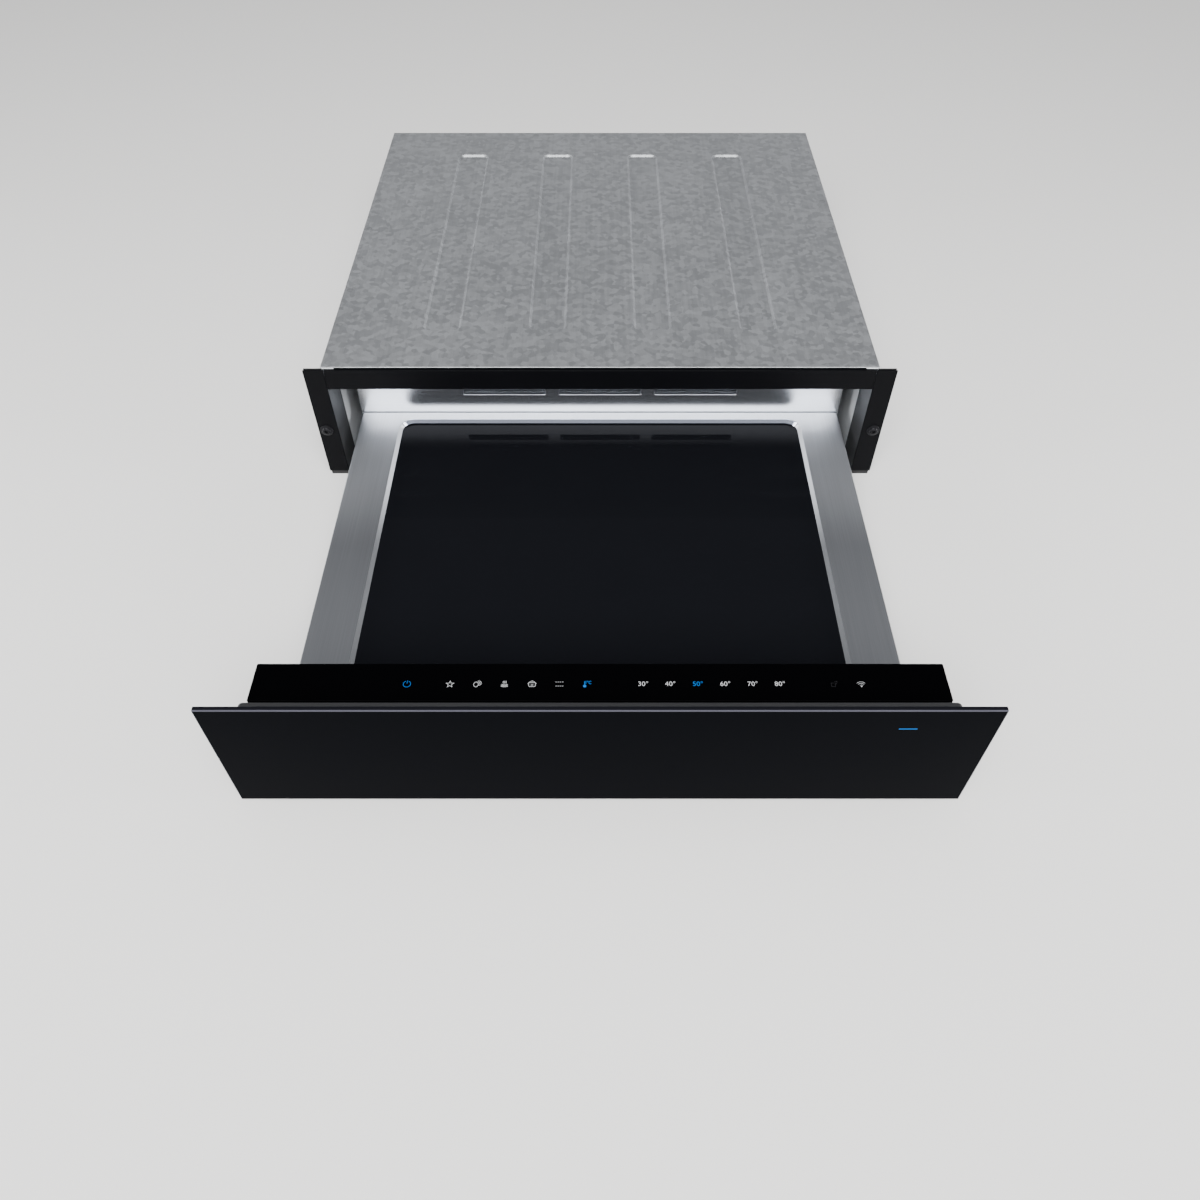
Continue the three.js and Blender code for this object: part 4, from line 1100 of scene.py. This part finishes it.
def pierced_face(work, outline, holes, y):
    """Adds a flat upright face with holes. Returns the new corners of the outline and of each hole."""
    loops = [outline, *holes]
    flat = [[Vector((point[0], point[-1], 0.0)) for point in loop] for loop in loops]
    corners = [work.verts.new((point.x, y, point.y)) for loop in flat for point in loop]
    for triangle in tessellate_polygon(flat):
        work.faces.new([corners[i] for i in triangle])
    split, start = [], 0
    for loop in loops:
        split.append(corners[start:start + len(loop)])
        start += len(loop)
    return split[0], split[1:]


class RearWall(Operator):
    """Steel wall behind the tray: two rows of air slots with pressed rims, and a folded upper edge"""

    bl_idname = "warmer.rear_wall"
    bl_label = "Rear wall"

    def execute(self, context):
        size = sizes()
        low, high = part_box("drawer_rear_wall")
        sheet, bend = 1.0 * MM, 1.6 * MM
        front, back = low.y, low.y + sheet
        pitch = size.slot_length + size.slot_bridge
        rise = size.slot_height + size.slot_row_bridge
        centres = [(column * pitch, size.slot_bottom + size.slot_height / 2 + row * rise)
                   for column in (-1, 0, 1) for row in (0, 1)]
        slot = (size.slot_length, size.slot_height)
        corner, turn, rim = size.slot_corner, size.slot_bend, size.slot_rim

        work = bmesh.new()
        fold = high.z - bend
        inner_fold = high.z - sheet - (bend - sheet)

        def face(y, top):
            outline = [(low.x, low.z), (high.x, low.z), (high.x, top), (low.x, top)]
            return pierced_face(work, outline, [slot_ring(c, slot, corner, turn, y) for c in centres], y)

        front_edge, front_holes = face(front, fold)
        back_edge, back_holes = face(back, inner_fold)

        # each rim: round the bend from the face, back along the slot and out again to the rear face
        for centre, start, end in zip(centres, front_holes, back_holes):
            rows = [start]
            profile = [(turn * (1 - math.sin(angle)), front + turn * (1 - math.cos(angle)))
                       for angle in quarter_turn(5, first=1)]
            outer = sheet * 0.7
            profile += [(0.0, front + rim), (outer, front + rim), (outer, back + turn * 0.35)]
            for grow, y in profile:
                rows.append([work.verts.new(point) for point in slot_ring(centre, slot, corner, grow, y)])
            rows.append(end)
            for first, second in zip(rows, rows[1:]):
                bridge(work, first, second)

        # folded upper edge from side to side
        inner_bend = bend - sheet
        profile = [(front + bend * (1 - math.cos(angle)), fold + bend * math.sin(angle))
                   for angle in quarter_turn(5, first=1)]
        profile += [(high.y, high.z), (high.y, high.z - sheet)]
        profile += [(back + inner_bend * (1 - math.sin(angle)), inner_fold + inner_bend * math.cos(angle))
                    for angle in quarter_turn(3)[:-1]]
        rows = [[front_edge[3], front_edge[2]]]
        rows += [[work.verts.new((x, y, z)) for x in (low.x, high.x)] for y, z in profile]
        rows.append([back_edge[3], back_edge[2]])
        for first, second in zip(rows, rows[1:]):
            bridge(work, first, second, closed=False)
        for side, edge in ((0, (front_edge[0], back_edge[0])), (1, (front_edge[1], back_edge[1]))):
            work.faces.new([edge[0], *[row[side] for row in rows], edge[1]])
        work.faces.new((front_edge[0], front_edge[1], back_edge[1], back_edge[0]))
        bmesh.ops.recalc_face_normals(work, faces=work.faces)
        mesh = settled(mesh_of("rear wall", work))
        add_piece("slotted_rear_wall", mesh, "wall steel", "drawer_rear_wall", "drawer_rear_wall")
        return {"FINISHED"}


# ---------------------------------------------------------------------------------------------
# Pieces that keep their form, their edges softened
# ---------------------------------------------------------------------------------------------

class DrawerBodies(Operator):
    """Pan under the tray and the warm-air unit behind the rear wall"""

    bl_idname = "warmer.drawer_bodies"
    bl_label = "Pan and fan box"

    def execute(self, context):
        edge = sizes().edge
        soften("drawer_pan", "galvanised", edge)
        soften("fan_box", "galvanised", edge)
        soften("fan_motor", "motor can", sizes().moulded_edge)
        soften("temperature_sensor", "zinc", edge * 0.6)
        soften("thermal_cutout", "pale moulding", edge)
        dress("heating tube", "air_heater")
        return {"FINISHED"}


class Housing(Operator):
    """Galvanised housing of the drawer"""

    bl_idname = "warmer.housing"
    bl_label = "Housing"

    def execute(self, context):
        for node, finish in (("top_cover", "cover"), ("base_pan", "galvanised"), ("rear_panel", "galvanised"),
                             ("left_side_panel", "side sheet"), ("right_side_panel", "side sheet")):
            soften(node, finish, sizes().edge)
        return {"FINISHED"}


class Trim(Operator):
    """Black trim round the opening"""

    bl_idname = "warmer.trim"
    bl_label = "Trim"

    def execute(self, context):
        soften("front_rail", "trim", sizes().edge, segments=3)
        for node in ("left_front_trim", "right_front_trim"):
            soften(node, "side trim", sizes().edge, segments=3)
        return {"FINISHED"}


class Runners(Operator):
    """Ball runners and their brackets"""

    bl_idname = "warmer.runners"
    bl_label = "Runners"

    def execute(self, context):
        for side in ("left", "right"):
            soften(f"{side}_rail_bracket", "zinc", sizes().edge)
            for member in ("outer", "middle", "inner"):
                soften(f"{side}_rail_{member}_member", "zinc", sizes().edge)
        return {"FINISHED"}


class Electrics(Operator):
    """Latch, terminal box, cable gland and power module"""

    bl_idname = "warmer.electrics"
    bl_label = "Latch and electrics"

    def execute(self, context):
        round_edge = sizes().moulded_edge
        soften("latch_body", "moulding", round_edge)
        soften("latch_plunger", "pale moulding", sizes().edge)
        soften("terminal_box", "pale moulding", round_edge)
        soften("mains_gland", "moulding", sizes().edge)
        soften("power_module", "moulding", round_edge)
        return {"FINISHED"}


# ---------------------------------------------------------------------------------------------
# Repeated pieces, made with Geometry Nodes
# ---------------------------------------------------------------------------------------------

class GeometryTree(NodeTree):
    """A Geometry Nodes tree with named inputs, closed by Realize Instances and Set Material."""

    def __init__(self, name, **inputs):
        super().__init__(bpy.data.node_groups.new(name, "GeometryNodeTree"))
        self.tree.interface.new_socket("Geometry", in_out="OUTPUT", socket_type="NodeSocketGeometry")
        self.values = {}
        for label, value in inputs.items():
            kind = "NodeSocketInt" if isinstance(value, int) else "NodeSocketFloat"
            made = self.tree.interface.new_socket(label, in_out="INPUT", socket_type=kind)
            self.values[made.identifier] = value
        self.entry = self.node("NodeGroupInput")

    def given(self, label):
        return Sock(self, self.entry.outputs[label])

    def vector(self, **parts):
        return self.form("ShaderNodeCombineXYZ", **parts)

    def joined(self, *geometries):
        made = self.node("GeometryNodeJoinGeometry")
        for geometry in geometries:
            self.tree.links.new(geometry, made.inputs[0])
        return made.outputs[0]

    def moved(self, geometry, **place):
        return self.form("GeometryNodeTransform", Geometry=geometry, Translation=self.vector(**place))

    def drum(self, bottom, top, depth, sides=72):
        """A drum or cone, or a prism with as many sides, that stands on z = 0."""
        return self.form("GeometryNodeMeshCone", Vertices=sides, Radius_Bottom=bottom, Radius_Top=top,
                         Depth=depth)

    def ball(self, radius, segments, rings):
        return self.form("GeometryNodeMeshUVSphere", Segments=segments, Rings=rings, Radius=radius)

    def swept(self, line, section, **settings):
        return self.form("GeometryNodeCurveToMesh", Curve=line, Profile_Curve=section, **settings)

    def rectangle(self, width, height):
        return self.form("GeometryNodeCurvePrimitiveQuadrilateral", Width=width, Height=height)

    def circle(self, resolution, radius):
        return self.form("GeometryNodeCurvePrimitiveCircle", {"mode": "RADIUS"},
                         Resolution=resolution, Radius=radius)

    def row(self, shape, count, **step):
        """Instances of a shape, the first at the origin and each one step further."""
        line = self.form("GeometryNodeMeshLine", {"mode": "OFFSET"}, Count=count, Offset=self.vector(**step))
        return self.form("GeometryNodeInstanceOnPoints", Points=line, Instance=shape)

    def mesh(self, geometry, finish):
        """Closes the tree with a geometry and returns what it makes as a plain mesh."""
        real = self.form("GeometryNodeRealizeInstances", Geometry=geometry)
        painted = self.form("GeometryNodeSetMaterial", Geometry=real, Material=FINISHES[finish])
        self.node("NodeGroupOutput", None, {0: painted})
        holder = in_scene("holder", bpy.data.meshes.new("holder"))
        modifier = holder.modifiers.new("nodes", "NODES")
        modifier.node_group = self.tree
        for identifier, value in self.values.items():
            modifier[identifier] = value
        mesh = evaluated_mesh(holder)
        if not mesh.polygons:
            raise RuntimeError(f"{self.tree.name} made nothing")
        return smoothed(mesh)


def placed(mesh, *transforms):
    """One mesh from a copy of a mesh at each transform."""
    work = bmesh.new()
    for transform in transforms:
        copy = mesh.copy()
        copy.transform(transform)
        work.from_mesh(copy)
        bpy.data.meshes.remove(copy)
    return mesh_of("placed", work)


def facing(place, direction):
    """A transform that stands a shape drawn along +Z on an upright face, its +X level along the face."""
    turn = Vector(direction).to_track_quat("Z", "Y").to_matrix().to_4x4()
    return Matrix.Translation(place) @ turn


# Layers of a screw's head: sides, lower and upper radius (input, factor), first and last share of its rise
HEXAGON_HEAD = (
    (28, ("Washer", 1.0), ("Washer", 0.9), 0.0, 0.28),
    (6, ("Head", 1.0), ("Head", 1.0), 0.0, 0.8),
    (6, ("Head", 1.0), ("Head", 0.86), 0.8, 1.0),
)
LOW_HEAD = (
    (28, ("Washer", 1.0), ("Washer", 0.97), 0.0, 0.45),
    (28, ("Washer", 0.97), ("Washer", 0.8), 0.45, 1.0),
)
COLLAR_HEAD = (
    (36, ("Washer", 1.0), ("Washer", 1.0), 0.0, 0.20),
    (36, ("Washer", 1.0), ("Washer", 0.88), 0.20, 0.36),
    (36, ("Head", 1.0), ("Head", 1.0), 0.0, 0.66),
    (36, ("Head", 1.0), ("Head", 0.88), 0.66, 0.86),
    (36, ("Head", 0.88), ("Head", 0.64), 0.86, 1.0),
)
SOCKET_FLOOR = 0.42  # height of a hexagon socket's floor, as a share of the head's rise
SCREW_ROW_SHARE = 0.84  # of the cover's depth, from the first to the last screw on a side
REAR_PITCH_SHARE = 0.3  # of the rear panel's width, from screw to screw
RIVET_PITCH_SHARE = 0.16  # of the cover's depth, from rivet to rivet in the pan's rim


def screw_row(finish, head, count, pitch, radius, washer, rise, socket=0.0):
    """Screw heads in a row along X on z = 0, the first at the origin, with a hexagon socket if any."""
    tree = GeometryTree("screw row", Count=count, Pitch=pitch, Head=radius, Washer=washer, Rise=rise,
                        Socket=socket)
    height, key = tree.given("Rise"), tree.given("Socket")
    layers = []
    for sides, (lower, lower_share), (upper, upper_share), start, end in head:
        layer = tree.drum(tree.given(lower) * lower_share, tree.given(upper) * upper_share,
                          height * (end - start), sides)
        layers.append(tree.moved(layer, Z=height * start))
    if socket:
        hole = tree.moved(tree.drum(key, key, height, sides=6), Z=height * SOCKET_FLOOR)
        layers = [tree.form("GeometryNodeMeshBoolean", {"operation": "DIFFERENCE"}, Mesh_1=layer, Mesh_2=hole)
                  for layer in layers]
    return tree.mesh(tree.row(tree.joined(*layers), tree.given("Count"), X=tree.given("Pitch")), finish)


def rivet_row(finish, count, pitch, radius, rise):
    """Domed rivet heads in a row along X that stand on z = 0, the first at the origin."""
    tree = GeometryTree("rivet row", Count=count, Pitch=pitch, Radius=radius, Rise=rise)
    scale = tree.vector(X=tree.given("Radius"), Y=tree.given("Radius"), Z=tree.given("Rise"))
    dome = tree.form("GeometryNodeTransform", Geometry=tree.ball(1.0, segments=20, rings=10), Scale=scale)
    return tree.mesh(tree.row(dome, tree.given("Count"), X=tree.given("Pitch")), finish)


class HousingScrews(Operator):
    """Screws and rivets that hold the housing's sheets together"""

    bl_idname = "warmer.housing_screws"
    bl_label = "Housing screws"

    def execute(self, context):
        size = sizes()
        low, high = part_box("top_cover")

        def on_sides(name, row, y, level, turn=Matrix()):
            """A row on each side, where y runs forward on the left side and back on the right."""
            spots = [facing((side * high.x, y(side), level), (side, 0, 0)) @ turn for side in (-1, 1)]
            add_piece(name, placed(row, *spots), "zinc", "top_cover")

        # low heads on the sides, so the housing still slides into its niche
        depth, rise, count = high.y - low.y, size.side_screw_rise, size.screws_in_row
        pitch = depth * SCREW_ROW_SHARE / (count - 1)
        row = screw_row("zinc", LOW_HEAD, count, pitch, size.screw_head, size.screw_head, rise,
                        socket=1.3 * MM)
        reach = pitch * (count - 1) / 2
        on_sides("side_screws", row, lambda side: -side * reach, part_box("left_side_panel")[1].z - 9 * MM)

        back_low, back_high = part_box("rear_panel")
        pitch = (back_high.x - back_low.x) * REAR_PITCH_SHARE
        row = screw_row("zinc", HEXAGON_HEAD, 4, pitch, size.screw_head, size.screw_washer, size.screw_rise)
        spots = [facing((1.5 * pitch, back_high.y, height), (0, 1, 0))
                 for height in (back_low.z + 9 * MM, back_high.z - 7 * MM)]
        add_piece("rear_screws", placed(row, *spots), "zinc", "rear_panel")

        # rivets through the base pan's raised rim, and through the folded back edge of the side trims
        pitch = depth * RIVET_PITCH_SHARE
        row = rivet_row("zinc", 6, pitch, 1.7 * MM, rise)
        on_sides("pan_rivets", row, lambda side: -side * 2.5 * pitch, 2.9 * MM)
        pair = rivet_row("zinc", 2, 78 * MM, 2.3 * MM, rise)
        upward = Matrix.Rotation(math.pi / 2, 4, "Z")
        on_sides("trim_rivets", pair, lambda side: low.y + 20 * MM, 29 * MM, upward)
        return {"FINISHED"}


class TrimScrews(Operator):
    """Black screws with a collar that hold the housing to the cabinet"""

    bl_idname = "warmer.trim_screws"
    bl_label = "Trim screws"

    def execute(self, context):
        size = sizes()
        low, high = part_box("right_flange_screw")
        middle = (low + high) / 2
        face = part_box("right_front_trim")[0].y
        row = screw_row("black screw", COLLAR_HEAD, 2, 2 * middle.x, size.trim_screw_head,
                        size.trim_screw_collar, face - low.y, socket=2.2 * MM)
        spot = facing((-middle.x, face, middle.z), (0, -1, 0))
        add_piece("trim_screws", placed(row, spot), "black screw", "right_flange_screw",
                  "left_flange_screw", "right_flange_screw")
        return {"FINISHED"}


class VentRims(Operator):
    """Rolled rims round the air slots in the rear panel"""

    bl_idname = "warmer.vent_rims"
    bl_label = "Vent rims"

    def execute(self, context):
        size = sizes()
        tree = GeometryTree("vent rims", Groups=2, Slots=size.vents_in_group, Apart=2 * size.vent_centre,
                            Rise=size.vent_pitch, Length=size.vent_length, Height=size.vent_height,
                            Thickness=0.55 * MM)
        height = tree.given("Height")
        rounded = tree.form("GeometryNodeFilletCurve", {"mode": "POLY"}, Count=8, Radius=height * 0.499,
                            Curve=tree.rectangle(tree.given("Length"), height))
        rim = tree.swept(rounded, tree.circle(8, tree.given("Thickness")))
        group = tree.row(rim, tree.given("Slots"), Y=tree.given("Rise"))
        rims = tree.mesh(tree.row(group, tree.given("Groups"), X=tree.given("Apart")), "galvanised")
        spot = facing((size.vent_centre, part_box("rear_panel")[1].y, size.vent_bottom), (0, 1, 0))
        add_piece("vent_rims", placed(rims, spot), "galvanised", "rear_panel")
        return {"FINISHED"}


class CageBalls(Operator):
    """Balls of the runners, and the folded strips that hold them"""

    bl_idname = "warmer.cage_balls"
    bl_label = "Ball cages"

    def execute(self, context):
        radius, steel = sizes().ball_radius, 0.8 * MM
        for kind in ("outer", "inner"):
            low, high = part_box(f"right_rail_{kind}_cage")
            tree = GeometryTree(f"{kind} balls", Balls=3, Step=(high.y - low.y) / 3, Radius=radius,
                                Spread=high.z - low.z - 2 * radius)
            ball = tree.ball(tree.given("Radius"), segments=24, rings=14)
            line = tree.row(ball, tree.given("Balls"), Y=tree.given("Step"))
            both = tree.mesh(tree.row(line, 2, Z=tree.given("Spread")), "bright ball")
            across = (low.x + high.x - steel) / 2
            start = (low.y + (high.y - low.y) / 6, low.z + radius)
            balls = placed(both, *[Matrix.Translation((side * across, *start)) for side in (-1, 1)])
            add_piece(f"{kind}_cage_balls", balls, "bright ball", f"right_rail_{kind}_cage")

            section = channel(low.x, high.x, low.z + radius - steel / 2, high.z - radius + steel / 2, steel)
            for side, name in ((-1, "left"), (1, "right")):
                strip = folded_sheet([(side * x, z) for x, z in section], low.y, high.y, "Y", 0.3 * MM)
                cage = f"{name}_rail_{kind}_cage"
                add_piece(f"{name}_{kind}_cage_strip", strip, "zinc", cage, cage)
        return {"FINISHED"}


class Impeller(Operator):
    """Fan wheel: a back disc, a front ring and curved blades between them"""

    bl_idname = "warmer.impeller"
    bl_label = "Impeller"

    def execute(self, context):
        size = sizes()
        low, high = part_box("fan_impeller")
        wheel = size.wheel_depth
        reach = high.y - low.y - 0.5 * MM
        tree = GeometryTree("impeller", Blades=size.blades, Radius=(high.x - low.x) / 2, Rise=wheel,
                            Blade=size.blade_length, Sheet=1.0 * MM, Hub=9 * MM, Shaft=3 * MM, Reach=reach)
        radius, chord, rise, sheet = (tree.given(label) for label in ("Radius", "Blade", "Rise", "Sheet"))
        curve = tree.form("GeometryNodeCurveArc", {"mode": "RADIUS"}, Resolution=9, Radius=chord,
                          Start_Angle=math.radians(-28), Sweep_Angle=math.radians(56))
        blade = tree.swept(curve, tree.rectangle(sheet, rise * 0.97), Fill_Caps=True)
        blade = tree.moved(blade, X=chord * -0.97, Z=rise * 0.485)
        leaning = tree.form("GeometryNodeTransform", Geometry=blade,
                            Rotation=(0.0, 0.0, math.radians(90 - 35)))
        ring = tree.form("GeometryNodeMeshCircle", Vertices=tree.given("Blades"),
                         Radius=radius - chord * 0.55)
        turn = Sock(tree, tree.form("GeometryNodeInputIndex")) / tree.given("Blades") * (2 * math.pi)
        blades = tree.form("GeometryNodeInstanceOnPoints", Points=ring, Instance=leaning,
                           Rotation=tree.vector(Z=turn))
        rim = tree.swept(tree.circle(72, radius - chord * 0.5), tree.rectangle(chord, sheet))
        hub, shaft = tree.given("Hub"), tree.given("Shaft")
        parts = [blades, tree.moved(rim, Z=rise * 0.977), tree.drum(radius, radius, sheet),
                 tree.drum(hub, hub, rise),
                 tree.moved(tree.drum(shaft, shaft, tree.given("Reach")), Z=wheel - reach)]
        mesh = tree.mesh(tree.joined(*parts), "moulding")
        centre = (low + high) / 2
        spot = facing((centre.x, low.y + wheel, centre.z), (0, -1, 0))
        add_piece("impeller_wheel", placed(mesh, spot), "moulding", "fan_impeller", "fan_impeller")
        return {"FINISHED"}


class AirGuide(Operator):
    """Steel channel behind the rear wall's slots, open at its ends, that turns the warm air"""

    bl_idname = "warmer.air_guide"
    bl_label = "Air guide"

    def execute(self, context):
        size = sizes()
        sheet, reach, margin = 0.8 * MM, 7.4 * MM, 4.4 * MM
        wall_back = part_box("drawer_rear_wall")[0].y + 1.0 * MM
        touch, back = wall_back + 0.05 * MM, wall_back + reach
        low = size.slot_bottom - margin
        top = size.slot_bottom + 2 * size.slot_height + size.slot_row_bridge + margin
        half = 1.5 * (size.slot_length + size.slot_bridge)
        mesh = folded_sheet(channel(touch, back, low, top, sheet), -half, half, "X", 0.35 * MM)
        add_piece("air_guide", mesh, "wall steel", "drawer_rear_wall")
        return {"FINISHED"}


# ---------------------------------------------------------------------------------------------
# Stage
# ---------------------------------------------------------------------------------------------

def soft_light(name, place, aim, size, power, spread=math.pi):
    light = bpy.data.lights.new(name, "AREA")
    light.shape = "RECTANGLE"
    light.size, light.size_y = size
    light.energy, light.spread = power, spread
    holder = in_scene(name, light)
    holder.location = place
    holder.rotation_euler = (Vector(aim) - Vector(place)).to_track_quat("-Z", "Y").to_euler()


def floor_finish(base):
    """Matt paint, faintly uneven."""
    shader = Shader()
    grain = shader.noise(260.0)
    return shader.surface(Base_Color=shader.tinted(shader.noise(0.8, detail=3.0), base, 0.985, 1.015),
                          Roughness=0.75 + (grain - 0.5) * 0.1, Specular_IOR_Level=0.2,
                          Normal=shader.bump(grain, 0.05 * MM, 0.3))


def studio_world(ambient):
    """Even light on matt surfaces, and a room that metal and glass mirror."""
    world = bpy.data.worlds.new("studio")
    world.use_nodes = True
    sky = NodeTree(world.node_tree)
    direction = sky.node("ShaderNodeTexCoord").outputs["Generated"]
    height = sky.node("ShaderNodeSeparateXYZ", None, {0: direction}).outputs["Z"]
    # what metal and glass mirror: pale near the horizon, dim overhead
    mirror = ((0.30, (0.62, 0.626, 0.65)), (0.60, (0.25, 0.2525, 0.2625)))
    ramp = sky.node("ShaderNodeValToRGB", {"stops": mirror}, {0: height})
    ramp.color_ramp.interpolation = "EASE"
    wall = sky.node("ShaderNodeValToRGB", {"stops": ((0.0, (0.45,) * 3), (0.45, (0.86,) * 3))}, {0: height})
    mirrored, scattered, backdrop = (
        sky.form("ShaderNodeBackground", Color=tint)
        for tint in (ramp.outputs[0], (ambient, ambient, ambient, 1.0), wall.outputs[0]))

    path = sky.node("ShaderNodeLightPath").outputs
    light = sky.node("ShaderNodeMixShader", None, {0: path["Is Diffuse Ray"], 1: mirrored, 2: scattered})
    seen = sky.node("ShaderNodeMixShader", None, {0: path["Is Camera Ray"], 1: light.outputs[0], 2: backdrop})
    sky.node("ShaderNodeOutputWorld", None, {"Surface": seen.outputs[0]})
    return world


class Stage(Operator):
    """Pale floor, soft studio lights and the camera"""

    bl_idname = "warmer.stage"
    bl_label = "Stage"

    def execute(self, context):
        studio = context.scene.warmer_studio
        half, below = studio.floor_size / 2, 0.5 * MM
        mesh = bpy.data.meshes.new("floor")
        mesh.from_pydata([(-half, -half, 0), (half, -half, 0), (half, half, 0), (-half, half, 0)], [],
                         [(0, 1, 2, 3)])
        mesh.transform(Matrix.Translation((0, 0, -below)))
        mesh.materials.append(floor_finish(colours().floor))
        floor = in_scene("floor", mesh)

        soft_light("key", (-0.05, -2.6, 2.7), (0, -0.25, 0.05), (3.4, 2.4), studio.key_power)
        for side in (-1, 1):
            soft_light("rear", (side * 1.9, 1.4, 2.2), (0, -0.45, 0.03), (1.0, 1.0), studio.rear_power)
        soft_light("top", (0.0, -0.55, 2.2), (0, -0.35, 0), (1.8, 0.9), studio.top_power)
        for side in (-1, 1):
            soft_light("low", (side * 2.4, -0.62, 0.46), (0, -0.3, 0.06), (1.0, 0.5), studio.side_power,
                       spread=math.radians(70))
        context.scene.world = studio_world(studio.ambient)

        camera = in_scene("camera", bpy.data.cameras.new("camera"))
        camera.data.sensor_width = 36.0
        camera.data.lens = studio.camera_lens
        camera.location = (0.0, -studio.camera_back, studio.camera_height)
        camera.rotation_euler = (math.pi / 2 - studio.camera_pitch, 0.0, 0.0)
        context.scene.camera = camera
        return {"FINISHED"}


# ---------------------------------------------------------------------------------------------
# Add-on
# ---------------------------------------------------------------------------------------------

OPERATORS = (FrontGlass, FrontCarrier, FrontBox, TouchStrip, Symbols, Degrees, Tray, HotPlate, RearWall,
             AirGuide, DrawerBodies, Impeller, Housing, HousingScrews, VentRims, Trim, TrimScrews, Runners,
             CageBalls, Electrics, Stage)


class WarmerPanel(Panel):
    """Lists the pieces of the warming drawer and what can be changed"""

    bl_idname = "VIEW3D_PT_warmer"
    bl_label = "Warming drawer"
    bl_space_type = "VIEW_3D"
    bl_region_type = "UI"
    bl_category = "Warming drawer"

    def draw(self, context):
        for operator in OPERATORS:
            self.layout.operator(operator.bl_idname)
        for group in (context.scene.warmer_sizes, context.scene.warmer_colours, context.scene.warmer_studio):
            box = self.layout.box()
            for name in group.bl_rna.properties.keys():
                if name not in {"rna_type", "name"}:
                    box.prop(group, name)


CLASSES = (WarmerColours, WarmerSizes, WarmerStudio, *OPERATORS, WarmerPanel)


def register():
    for kind in CLASSES:
        bpy.utils.register_class(kind)
    bpy.types.Scene.warmer_colours = PointerProperty(type=WarmerColours)
    bpy.types.Scene.warmer_sizes = PointerProperty(type=WarmerSizes)
    bpy.types.Scene.warmer_studio = PointerProperty(type=WarmerStudio)


def unregister():
    del bpy.types.Scene.warmer_studio
    del bpy.types.Scene.warmer_sizes
    del bpy.types.Scene.warmer_colours
    for kind in reversed(CLASSES):
        bpy.utils.unregister_class(kind)


def main():
    register()
    FINISHES.update(make_finishes(colours()))
    for operator in OPERATORS:
        group, name = operator.bl_idname.split(".")
        getattr(getattr(bpy.ops, group), name)()


if __name__ == "__main__":
    main()
